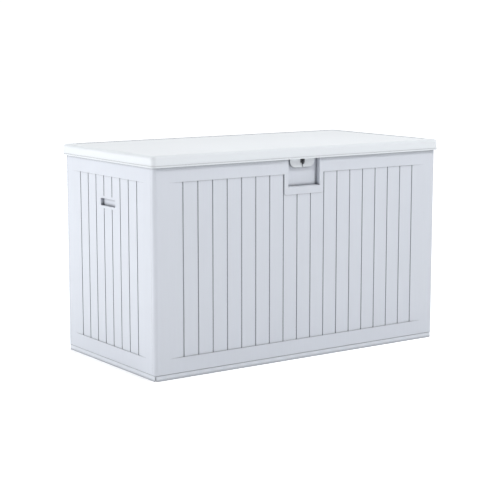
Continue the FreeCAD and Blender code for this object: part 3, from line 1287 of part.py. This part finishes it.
def strut_screws(doc, sizes):
    face = sizes.inner_x - sizes.bracket_thickness
    seats = [((face * side, y, z), (-side, 0, 0)) for side in (-1, 1) for y, z in body_bracket_screws(sizes)]
    return screw_group(doc, sizes, "strut_screws_body", sizes.bracket_screw, seats)


def lid_strut_screws(doc, sizes):
    level = sizes.liner_z - sizes.bracket_thickness
    seats = [((x, y, level), (0, 0, -1)) for x, y in lid_bracket_screws(sizes)]
    return screw_group(doc, sizes, "strut_screws_lid", sizes.bracket_screw, seats)


def liner_screws(doc, sizes):
    seats = [((x, y, sizes.liner_z), (0, 0, -1)) for x, y in liner_screw_points(sizes)]
    return screw_group(doc, sizes, "liner_screws", sizes.liner_screw, seats)


def tongue_screws(doc, sizes):
    level = sizes.wall_top + sizes.tongue_foot_gap
    seats = [((x, y, level), (0, 0, -1)) for x, y in tongue_screw_points(sizes)]
    return screw_group(doc, sizes, "tongue_screws", sizes.bracket_screw, seats)


def staple_screws(doc, sizes):
    face = sizes.recess_back - sizes.staple_plate
    seats = [((x, face, z), (0, -1, 0)) for x, z in staple_screw_points(sizes)]
    return screw_group(doc, sizes, "staple_screws", sizes.staple_screw, seats)


# ---------------------------------------------------------------------------------------------------------------
# The whole box
# ---------------------------------------------------------------------------------------------------------------

def build(doc):
    sizes = Sizes(doc)
    nodes = [base_panel(doc, sizes), front_panel(doc, sizes), back_panel(doc, sizes)]
    nodes += [side_panel(doc, sizes, "left_panel", -1), side_panel(doc, sizes, "right_panel", 1)]
    nodes += [hand_pocket(doc, sizes, "hand_pocket_left", -1), hand_pocket(doc, sizes, "hand_pocket_right", 1)]
    nodes += [lock_housing(doc, sizes)]
    nodes += [lid_shell(doc, sizes), lid_liner(doc, sizes)]
    nodes += [support_bar(doc, sizes, "support_bar_front", -1), support_bar(doc, sizes, "support_bar_back", 1)]
    for index, (x, place) in enumerate(zip(hinge_places(sizes), ("left", "middle", "right"))):
        screws = lid_leaf_screws(sizes)[index * 3:index * 3 + 3]
        nodes.append(body_leaf(doc, sizes, f"hinge_back_leaf_{place}", x))
        nodes.append(lid_leaf(doc, sizes, f"hinge_lid_leaf_{place}", x, screws))
        nodes.append(hinge_pin(doc, sizes, f"hinge_pin_{place}", x))
    for side, place in ((-1, "left"), (1, "right")):
        x = sizes.strut_x * side
        nodes.append(strut_tube(doc, sizes, f"strut_cylinder_{place}", x))
        nodes.append(strut_gland(doc, sizes, f"strut_gland_{place}", x))
        nodes.append(strut_rod(doc, sizes, f"strut_rod_{place}", x))
        nodes.append(strut_piston(doc, sizes, f"strut_piston_{place}", x))
        nodes.append(ball_socket(doc, sizes, f"strut_socket_lower_{place}", x, side, "lower"))
        nodes.append(ball_socket(doc, sizes, f"strut_socket_upper_{place}", x, side, "upper"))
        nodes.append(body_bracket(doc, sizes, f"strut_bracket_body_{place}", side))
        nodes.append(lid_bracket(doc, sizes, f"strut_bracket_lid_{place}", side))
    nodes += [lock_tongue(doc, sizes), tongue_escutcheon(doc, sizes), lock_staple(doc, sizes)]
    nodes += [corner_screws(doc, sizes), base_screws(doc, sizes), hinge_screws(doc, sizes)]
    nodes += [lid_hinge_screws(doc, sizes), strut_screws(doc, sizes), lid_strut_screws(doc, sizes)]
    nodes += [liner_screws(doc, sizes), tongue_screws(doc, sizes), staple_screws(doc, sizes)]
    return nodes


def check(doc, nodes):
    """Stops the build if anything in the document failed, or if a sub-part is empty or not valid."""
    for item in doc.Objects:
        if {"Invalid", "Error"} & set(item.State):
            raise RuntimeError(f"{item.Name}: {item.State}")
    for node in nodes:
        if node.Shape.isNull() or not node.Shape.isValid() or not node.Shape.Solids:
            raise RuntimeError(f"{node.Label}: empty or not valid")


def main():
    doc = FreeCAD.newDocument("deck_storage_box")
    nodes = build(doc)
    doc.recompute()
    check(doc, nodes)
    os.makedirs("parts", exist_ok=True)
    for node in nodes:
        node.Shape.exportStep(f"parts/{node.Label}.step")
        print(f"{node.Label}: {len(node.Shape.Solids)} solid(s), {node.Shape.Volume / 1000:.1f} cm3")


main()
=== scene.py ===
"""Looks of the deck storage box: materials for the moulded panels, the lid, the hinges, the gas
struts, the lock and the screws, and a plain stage. Metres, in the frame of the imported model."""
import math

import bpy
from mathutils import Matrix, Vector

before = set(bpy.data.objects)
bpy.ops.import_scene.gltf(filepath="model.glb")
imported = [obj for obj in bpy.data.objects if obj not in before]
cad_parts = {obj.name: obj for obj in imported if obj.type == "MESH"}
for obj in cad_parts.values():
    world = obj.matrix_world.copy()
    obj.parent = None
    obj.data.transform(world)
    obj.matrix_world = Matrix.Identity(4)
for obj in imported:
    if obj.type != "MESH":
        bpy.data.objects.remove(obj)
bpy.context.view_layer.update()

bl_info = {
    "name": "Deck storage box looks",
    "version": (1, 0, 0),
    "blender": (4, 5, 0),
    "location": "View3D > Sidebar > Storage Box",
    "description": "Finishes the moulded panels, lid, hinges, struts, lock and screws of a deck storage box",
    "category": "Object",
}

MM = 0.001
FLOOR_HALF = 14.0           # metres from the middle of the floor to its edges
GLOW_NEAR = 1.3             # metres from the box within which the floor glows least
GLOW_FAR = 4.5              # metres from the box beyond which it glows fully
LAMP_AIM = (0, 0, 0.4)      # the middle of the box, where the fill lamps point
KEY_AIM = (0, 0, 0.5)       # a little higher, where the key lamp points
WORN_EDGE = "6E7073"        # bare metal that shows at the worn edges of a black coat
SIDES = ("left", "right")
HINGE_PLACES = ("left", "middle", "right")


def linear(hex_colour):
    """Turns an sRGB hex colour such as 'CDD2DB' into linear red, green and blue."""
    channels = [int(hex_colour[index:index + 2], 16) / 255 for index in (0, 2, 4)]
    return tuple(c / 12.92 if c <= 0.04045 else ((c + 0.055) / 1.055) ** 2.4 for c in channels)


def colour_property(label, description, hex_colour):
    return bpy.props.FloatVectorProperty(name=label, description=description, subtype="COLOR", size=3,
                                         min=0, max=1, default=linear(hex_colour))


def length_property(label, description, millimetres):
    return bpy.props.FloatProperty(name=label, description=description, subtype="DISTANCE", unit="LENGTH",
                                   min=0, default=millimetres * MM)


class BoxColours(bpy.types.PropertyGroup):
    """Colours of the finishes."""
    panel: colour_property("Panels", "Pigment of the moulded wall panels", "CDD1D9")
    lid: colour_property("Lid", "Pigment of the lid, its liner and the lock tongue", "DCE0E4")
    base: colour_property("Base", "Pigment of the base", "D4D8DF")
    # Painted shade: this dust colour also stands in for shade in grooves, corners and under the lid.
    groove_dust_and_shade: colour_property("Groove dust", "Dust that settles in grooves and corners", "565A63")
    black_coat: colour_property("Black coat", "Coat of the lock fittings and strut cylinders", "131416")
    black_plastic: colour_property("Black plastic", "Ball sockets, glands and pistons", "1B1C1E")
    zinc: colour_property("Zinc", "Plating of hinges, brackets and screws", "C4C6C6")
    galvanised: colour_property("Galvanised steel", "Support bars inside the lid", "A9ADAF")
    chrome: colour_property("Hard chrome", "Strut rods", "D8DADC")
    floor: colour_property("Floor", "Plain pale floor", "F6F7F8")


class BoxSizes(bpy.types.PropertyGroup):
    """Sizes that shape the finishes."""
    grain_width: length_property("Grain width", "Width of the moulded wood grain's streaks", 2.6)
    grain_length: length_property("Grain length", "Length of the moulded wood grain's streaks", 120)
    grain_depth: length_property("Grain depth", "Depth of the moulded wood grain", 0.18)
    pebble: length_property("Pebble size", "Pebbles of the etched mould on the lid", 1.4)
    pebble_depth: length_property("Pebble depth", "Depth of those pebbles", 0.05)
    # Painted shade: this reach also spreads the painted darkening under the lid and into the lock recess.
    dust_and_shade_reach: length_property("Dust reach", "How far dust spreads out of a groove", 13)


class StageSettings(bpy.types.PropertyGroup):
    """Camera and light."""
    turn: bpy.props.FloatProperty(name="Turn", description="Camera to the left of the front's middle",
                                  subtype="ANGLE", unit="ROTATION", default=math.radians(35.05))
    rise: bpy.props.FloatProperty(name="Rise", description="Camera above the horizon",
                                  subtype="ANGLE", unit="ROTATION", default=math.radians(8.98))
    distance: bpy.props.FloatProperty(name="Distance", description="Camera to the point it looks at",
                                      subtype="DISTANCE", unit="LENGTH", default=6.140)
    target: bpy.props.FloatVectorProperty(name="Target", description="Point that the camera looks at",
                                          subtype="XYZ", unit="LENGTH", default=(-0.0137, 0.0094, 0.4106))
    lens: bpy.props.FloatProperty(name="Lens", description="Focal length in millimetres on a 36 mm sensor",
                                  default=101.95)
    backdrop: bpy.props.FloatProperty(name="Backdrop", description="Strength of the lit white backdrop",
                                      default=1.05)
    room: bpy.props.FloatProperty(name="Room", description="Light from the rest of the room",
                                  default=0.2)
    floor_glow: bpy.props.FloatProperty(name="Floor glow", default=0.45,
                                        description="Light that comes through the white floor")
    key_light: bpy.props.FloatProperty(name="Key light", description="Soft light above the front",
                                       subtype="POWER", unit="POWER", default=128)
    side_light: bpy.props.FloatProperty(name="Side light", description="Soft light on the left",
                                        subtype="POWER", unit="POWER", default=115)
    top_light: bpy.props.FloatProperty(name="Top light", description="Soft light above",
                                       subtype="POWER", unit="POWER", default=50)


# --------------------------------------------------------------------------------------------------
# Materials
# --------------------------------------------------------------------------------------------------

def add_node(tree, kind, settings=None, **inputs):
    """Adds a node. settings are its own properties. Each input is a value, or a socket to link from. Its name
    is the socket's name with _ for a space, or the socket's number after in_ where names repeat."""
    node = tree.nodes.new(kind)
    for name, value in (settings or {}).items():
        setattr(node, name, value)
    for name, value in inputs.items():
        key = int(name[3:]) if name.startswith("in_") else name.replace("_", " ")
        if isinstance(value, bpy.types.NodeSocket):
            tree.links.new(value, node.inputs[key])
        else:
            node.inputs[key].default_value = value
    return node


def new_material(name):
    material = bpy.data.materials.new(name)
    material.use_nodes = True
    material.node_tree.nodes.clear()
    return material, material.node_tree


def rgba(colour):
    return (*colour, 1.0)


def shade(colour, factor):
    return tuple(min(1.0, channel * factor) for channel in colour)


def finish_material(tree, shader):
    add_node(tree, "ShaderNodeOutputMaterial", Surface=shader.outputs["BSDF"])


def stretched_noise(tree, position, width, length, detail=4.0):
    """Streaks of the given width and length that run up the part."""
    scale = add_node(tree, "ShaderNodeVectorMath", {"operation": "MULTIPLY"}, in_0=position,
                     in_1=(1 / width, 1 / width, 1 / length))
    return add_node(tree, "ShaderNodeTexNoise", Vector=scale.outputs["Vector"],
                    Scale=1.0, Detail=detail, Roughness=0.62, Distortion=0.25)


def moulded_polypropylene(name, colour, sizes, colours, grained):
    """Pigmented polypropylene from an etched steel mould: an even, pale body with a soft satin sheen. The
    grain breaks the highlights up and the pigment drifts slightly. Grooves, corners, the lock recess and the
    band under the lid are darkened towards a dust colour: partly real dust, partly painted shade."""
    material, tree = new_material(name)
    position = add_node(tree, "ShaderNodeTexCoord").outputs["Object"]
    cloud = add_node(tree, "ShaderNodeTexNoise", Vector=position, Scale=2.2, Detail=3.0, Roughness=0.5)
    if grained:
        relief = stretched_noise(tree, position, sizes.grain_width, sizes.grain_length)
        height = sizes.grain_depth
    else:
        relief = add_node(tree, "ShaderNodeTexNoise", Vector=position, Scale=1 / sizes.pebble, Detail=2.0,
                          Roughness=0.5)
        height = sizes.pebble_depth
    drift = add_node(tree, "ShaderNodeMix", {"data_type": "RGBA"}, Factor=cloud.outputs["Fac"],
                     in_6=rgba(shade(colour, 0.97)), in_7=rgba(shade(colour, 1.03)))
    streak = add_node(tree, "ShaderNodeMapRange", Value=relief.outputs["Fac"], From_Min=0.3, From_Max=0.7,
                      To_Min=0.0, To_Max=0.22 if grained else 0.08)
    tinted = add_node(tree, "ShaderNodeMix", {"data_type": "RGBA"}, Factor=streak.outputs["Result"],
                      in_6=drift.outputs[2], in_7=rgba(shade(colour, 0.90)))
    # Painted shade: occlusion darkens grooves, corners, the recess and the band under the lid; partly real
    # dust.
    corner = add_node(tree, "ShaderNodeAmbientOcclusion", {"samples": 6}, Distance=sizes.dust_and_shade_reach)
    dust_and_shade = add_node(tree, "ShaderNodeMapRange", Value=corner.outputs["AO"], From_Min=0.38, From_Max=0.97,
                    To_Min=0.85, To_Max=0.0)
    dusty_and_shaded = add_node(tree, "ShaderNodeMix", {"data_type": "RGBA"}, Factor=dust_and_shade.outputs["Result"],
                     in_6=tinted.outputs[2], in_7=rgba(colours.groove_dust_and_shade))
    roughness = add_node(tree, "ShaderNodeMapRange", Value=relief.outputs["Fac"], From_Min=0.3, From_Max=0.7,
                         To_Min=0.42, To_Max=0.56)
    bump = add_node(tree, "ShaderNodeBump", Strength=0.6, Distance=height, Height=relief.outputs["Fac"])
    shader = add_node(tree, "ShaderNodeBsdfPrincipled", Base_Color=dusty_and_shaded.outputs[2],
                      Roughness=roughness.outputs["Result"], IOR=1.49, Normal=bump.outputs["Normal"])
    finish_material(tree, shader)
    return material


def plated_steel(name, colour, flake, roughness):
    """Zinc-plated or galvanised steel: grey metal whose crystals give patches of slightly different gloss."""
    material, tree = new_material(name)
    position = add_node(tree, "ShaderNodeTexCoord").outputs["Object"]
    crystals = add_node(tree, "ShaderNodeTexVoronoi", Vector=position, Scale=1 / flake)
    cloud = add_node(tree, "ShaderNodeTexNoise", Vector=position, Scale=90.0, Detail=4.0)
    patch = add_node(tree, "ShaderNodeSeparateColor", Color=crystals.outputs["Color"])
    tint = add_node(tree, "ShaderNodeMix", {"data_type": "RGBA"}, Factor=patch.outputs["Red"],
                    in_6=rgba(shade(colour, 0.78)), in_7=rgba(shade(colour, 1.08)))
    gloss = add_node(tree, "ShaderNodeMapRange", Value=cloud.outputs["Fac"], From_Min=0.3, From_Max=0.7,
                     To_Min=roughness * 0.8, To_Max=roughness * 1.25)
    bump = add_node(tree, "ShaderNodeBump", Strength=0.25, Distance=0.05 * MM, Height=cloud.outputs["Fac"])
    shader = add_node(tree, "ShaderNodeBsdfPrincipled", Base_Color=tint.outputs[2], Metallic=1.0,
                      Roughness=gloss.outputs["Result"], Normal=bump.outputs["Normal"])
    finish_material(tree, shader)
    return material


def black_finish(name, colour, roughness, grit):
    """Coated steel or moulded polyamide: black, slightly orange-peeled, lighter along worn edges."""
    material, tree = new_material(name)
    position = add_node(tree, "ShaderNodeTexCoord").outputs["Object"]
    peel = add_node(tree, "ShaderNodeTexNoise", Vector=position, Scale=1 / grit, Detail=2.0)
    edge = add_node(tree, "ShaderNodeNewGeometry").outputs["Pointiness"]
    wear = add_node(tree, "ShaderNodeMapRange", Value=edge, From_Min=0.52, From_Max=0.60, To_Min=0.0,
                    To_Max=0.35)
    tint = add_node(tree, "ShaderNodeMix", {"data_type": "RGBA"}, Factor=wear.outputs["Result"],
                    in_6=rgba(colour), in_7=rgba(linear(WORN_EDGE)))
    gloss = add_node(tree, "ShaderNodeMapRange", Value=peel.outputs["Fac"], From_Min=0.3, From_Max=0.7,
                     To_Min=roughness * 0.85, To_Max=roughness * 1.2)
    bump = add_node(tree, "ShaderNodeBump", Strength=0.35, Distance=0.08 * MM, Height=peel.outputs["Fac"])
    shader = add_node(tree, "ShaderNodeBsdfPrincipled", Base_Color=tint.outputs[2],
                      Roughness=gloss.outputs["Result"], IOR=1.5, Normal=bump.outputs["Normal"])
    finish_material(tree, shader)
    return material


def hard_chrome(name, colour):
    """Ground and chromed rod: bright metal with fine rings of grinding marks round it."""
    material, tree = new_material(name)
    position = add_node(tree, "ShaderNodeTexCoord").outputs["Object"]
    rings = stretched_noise(tree, position, 20 * MM, 0.4 * MM, detail=2.0)
    gloss = add_node(tree, "ShaderNodeMapRange", Value=rings.outputs["Fac"], From_Min=0.3, From_Max=0.7,
                     To_Min=0.08, To_Max=0.2)
    shader = add_node(tree, "ShaderNodeBsdfPrincipled", Base_Color=rgba(colour), Metallic=1.0,
                      Roughness=gloss.outputs["Result"])
    finish_material(tree, shader)
    return material


# --------------------------------------------------------------------------------------------------
# Pieces
# --------------------------------------------------------------------------------------------------

def dress(names, material):
    """Gives CAD nodes their material."""
    for name in names:
        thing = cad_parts[name]
        thing.data.materials.clear()
        thing.data.materials.append(material)


class BoxOperator:
    """What every operator of the box shares."""
    bl_options = {"REGISTER", "UNDO"}

    def execute(self, context):
        scene = context.scene
        self.make(scene.box_colours, scene.box_sizes, scene)
        return {"FINISHED"}


class STORAGEBOX_OT_panels(BoxOperator, bpy.types.Operator):
    """Finishes the four wall panels"""
    bl_idname = "storagebox.panels"
    bl_label = "Wall Panels"

    def make(self, colours, sizes, scene):
        material = moulded_polypropylene("wood-grained moulded polypropylene", colours.panel, sizes, colours,
                                         True)
        dress(["front_panel", "back_panel", "left_panel", "right_panel"], material)
        dress(["lock_housing", "hand_pocket_left", "hand_pocket_right"], material)


class STORAGEBOX_OT_base(BoxOperator, bpy.types.Operator):
    """Finishes the base"""
    bl_idname = "storagebox.base"
    bl_label = "Base"

    def make(self, colours, sizes, scene):
        material = moulded_polypropylene("moulded polypropylene base", colours.base, sizes, colours, False)
        dress(["base_panel"], material)


class STORAGEBOX_OT_lid(BoxOperator, bpy.types.Operator):
    """Finishes the lid, its liner and the lock tongue"""
    bl_idname = "storagebox.lid"
    bl_label = "Lid"

    def make(self, colours, sizes, scene):
        material = moulded_polypropylene("pebbled moulded polypropylene", colours.lid, sizes, colours, False)
        dress(["lid_shell", "lid_liner", "lock_tongue"], material)


class STORAGEBOX_OT_bars(BoxOperator, bpy.types.Operator):
    """Finishes the support bars inside the lid"""
    bl_idname = "storagebox.bars"
    bl_label = "Support Bars"

    def make(self, colours, sizes, scene):
        material = plated_steel("hot-dip galvanised steel tube", colours.galvanised, 9 * MM, 0.42)
        dress(["support_bar_front", "support_bar_back"], material)


class STORAGEBOX_OT_hinges(BoxOperator, bpy.types.Operator):
    """Finishes the hinges"""
    bl_idname = "storagebox.hinges"
    bl_label = "Hinges"

    def make(self, colours, sizes, scene):
        material = plated_steel("zinc-plated stamped steel", colours.zinc, 2.2 * MM, 0.34)
        for place in HINGE_PLACES:
            dress([f"hinge_{part}_{place}" for part in ("back_leaf", "lid_leaf", "pin")], material)


class STORAGEBOX_OT_struts(BoxOperator, bpy.types.Operator):
    """Finishes the gas struts and their brackets"""
    bl_idname = "storagebox.struts"
    bl_label = "Gas Struts"

    def make(self, colours, sizes, scene):
        coat = black_finish("black painted steel tube", colours.black_coat, 0.32, 1.2 * MM)
        plastic = black_finish("moulded black polyamide", colours.black_plastic, 0.5, 0.7 * MM)
        chrome = hard_chrome("hard-chromed steel rod", colours.chrome)
        zinc = plated_steel("zinc-plated bracket steel", colours.zinc, 2.2 * MM, 0.34)
        for side in SIDES:
            dress([f"strut_cylinder_{side}"], coat)
            dress([f"strut_rod_{side}"], chrome)
            black_parts = ("gland", "piston", "socket_lower", "socket_upper")
            dress([f"strut_{part}_{side}" for part in black_parts], plastic)
            dress([f"strut_bracket_{place}_{side}" for place in ("body", "lid")], zinc)


class STORAGEBOX_OT_lock(BoxOperator, bpy.types.Operator):
    """Finishes the black lock fittings"""
    bl_idname = "storagebox.lock"
    bl_label = "Lock Fittings"

    def make(self, colours, sizes, scene):
        coat = black_finish("black powder-coated steel", colours.black_coat, 0.45, 0.9 * MM)
        dress(["tongue_escutcheon", "lock_staple", "staple_screws"], coat)


class STORAGEBOX_OT_screws(BoxOperator, bpy.types.Operator):
    """Finishes the zinc-plated screws"""
    bl_idname = "storagebox.screws"
    bl_label = "Screws"

    def make(self, colours, sizes, scene):
        material = plated_steel("bright zinc-plated screw", colours.zinc, 1.5 * MM, 0.28)
        groups = ("corner_screws", "base_screws", "hinge_screws_back", "hinge_screws_lid",
                  "strut_screws_body", "strut_screws_lid", "liner_screws", "tongue_screws")
        dress(groups, material)


# --------------------------------------------------------------------------------------------------
# Stage
# --------------------------------------------------------------------------------------------------

def area_light(scene, name, power, size, place, aim):
    """A soft lamp of the given width and height in metres, turned towards its aim."""
    lamp = bpy.data.lights.new(name, "AREA")
    lamp.energy = power
    lamp.shape = "RECTANGLE"
    lamp.size = size[0]
    lamp.size_y = size[1]
    light = bpy.data.objects.new(name, lamp)
    light.location = place
    light.rotation_euler = (Vector(aim) - Vector(place)).to_track_quat("-Z", "Y").to_euler()
    scene.collection.objects.link(light)


def make_floor(scene, colour, glow):
    """A plain matt floor of white acrylic, lit from below."""
    mesh = bpy.data.meshes.new("floor")
    corners = [(x * FLOOR_HALF, y * FLOOR_HALF, 0) for x, y in ((-1, -1), (1, -1), (1, 1), (-1, 1))]
    mesh.from_pydata(corners, [], [(0, 1, 2, 3)])
    floor = bpy.data.objects.new("floor", mesh)
    scene.collection.objects.link(floor)
    material, tree = new_material("lit opal acrylic sheet")
    position = add_node(tree, "ShaderNodeTexCoord").outputs["Object"]
    cloud = add_node(tree, "ShaderNodeTexNoise", Vector=position, Scale=0.6, Detail=2.0)
    tint = add_node(tree, "ShaderNodeMix", {"data_type": "RGBA"}, Factor=cloud.outputs["Fac"],
                    in_6=rgba(shade(colour, 0.995)), in_7=rgba(shade(colour, 1.005)))
    # The sheet glows more away from the box, so that it stays white where the lamps no longer reach.
    away = add_node(tree, "ShaderNodeVectorMath", {"operation": "LENGTH"}, in_0=position)
    lit = add_node(tree, "ShaderNodeMapRange", Value=away.outputs["Value"], From_Min=GLOW_NEAR,
                   From_Max=GLOW_FAR, To_Min=glow, To_Max=1.0)
    shader = add_node(tree, "ShaderNodeBsdfPrincipled", Base_Color=tint.outputs[2], Roughness=0.9,
                      Specular_IOR_Level=0.1, Emission_Color=rgba(colour),
                      Emission_Strength=lit.outputs["Result"])
    finish_material(tree, shader)
    mesh.materials.append(material)


def make_surroundings(scene, stage):
    """A lit white backdrop behind the object, and a dimmer room on the other sides."""
    world = bpy.data.worlds.new("studio")
    world.use_nodes = True
    tree = world.node_tree
    tree.nodes.clear()
    direction = add_node(tree, "ShaderNodeTexCoord").outputs["Generated"]
    behind = (math.sin(stage.turn), math.cos(stage.turn), 0)
    towards = add_node(tree, "ShaderNodeVectorMath", {"operation": "DOT_PRODUCT"}, in_0=direction,
                       in_1=behind)
    strength = add_node(tree, "ShaderNodeMapRange", {"interpolation_type": "SMOOTHSTEP"},
                        Value=towards.outputs["Value"], From_Min=0.35, From_Max=0.85, To_Min=stage.room,
                        To_Max=stage.backdrop)
    light = add_node(tree, "ShaderNodeBackground", Color=(1, 1, 1, 1), Strength=strength.outputs["Result"])
    add_node(tree, "ShaderNodeOutputWorld", Surface=light.outputs["Background"])
    scene.world = world


def make_camera(scene, stage):
    lens = bpy.data.cameras.new("camera")
    lens.lens = stage.lens
    lens.sensor_width = 36
    lens.clip_end = 100
    camera = bpy.data.objects.new("camera", lens)
    away = Vector((-math.sin(stage.turn) * math.cos(stage.rise), -math.cos(stage.turn) * math.cos(stage.rise),
                   math.sin(stage.rise)))
    camera.location = Vector(stage.target) + away * stage.distance
    camera.rotation_euler = away.to_track_quat("Z", "Y").to_euler()
    scene.collection.objects.link(camera)
    scene.camera = camera


class STORAGEBOX_OT_stage(BoxOperator, bpy.types.Operator):
    """Sets up the camera, the light and the floor"""
    bl_idname = "storagebox.stage"
    bl_label = "Stage"

    def make(self, colours, sizes, scene):
        stage = scene.box_stage
        make_camera(scene, stage)
        make_floor(scene, colours.floor, stage.floor_glow)
        area_light(scene, "key light", stage.key_light, (1.0, 1.0), (1.1, -2.9, 4.7), KEY_AIM)
        area_light(scene, "side light", stage.side_light, (3.0, 2.5), (-4.6, 1.6, 2.0), LAMP_AIM)
        area_light(scene, "top light", stage.top_light, (4.5, 3.5), (0.4, 0.2, 4.2), LAMP_AIM)
        make_surroundings(scene, stage)
        scene.view_settings.view_transform = "Standard"


class STORAGEBOX_PT_sidebar(bpy.types.Panel):
    """Lists the box's colours, sizes and operators"""
    bl_idname = "STORAGEBOX_PT_sidebar"
    bl_label = "Storage Box"
    bl_space_type = "VIEW_3D"
    bl_region_type = "UI"
    bl_category = "Storage Box"

    def draw(self, context):
        for group in (context.scene.box_colours, context.scene.box_sizes, context.scene.box_stage):
            column = self.layout.column()
            for name in group.__annotations__:
                column.prop(group, name)
        for operator in OPERATORS:
            self.layout.operator(operator.bl_idname)


OPERATORS = (STORAGEBOX_OT_stage, STORAGEBOX_OT_panels, STORAGEBOX_OT_base, STORAGEBOX_OT_lid,
             STORAGEBOX_OT_bars, STORAGEBOX_OT_hinges, STORAGEBOX_OT_struts, STORAGEBOX_OT_lock,
             STORAGEBOX_OT_screws)
GROUPS = {"box_colours": BoxColours, "box_sizes": BoxSizes, "box_stage": StageSettings}
CLASSES = (*GROUPS.values(), *OPERATORS, STORAGEBOX_PT_sidebar)


def register():
    for cls in CLASSES:
        bpy.utils.register_class(cls)
    for name, group in GROUPS.items():
        setattr(bpy.types.Scene, name, bpy.props.PointerProperty(type=group))


def unregister():
    for name in GROUPS:
        delattr(bpy.types.Scene, name)
    for cls in reversed(CLASSES):
        bpy.utils.unregister_class(cls)


def main():
    register()
    for operator in OPERATORS:
        category, name = operator.bl_idname.split(".")
        getattr(getattr(bpy.ops, category), name)()


if __name__ == "__main__":
    main()
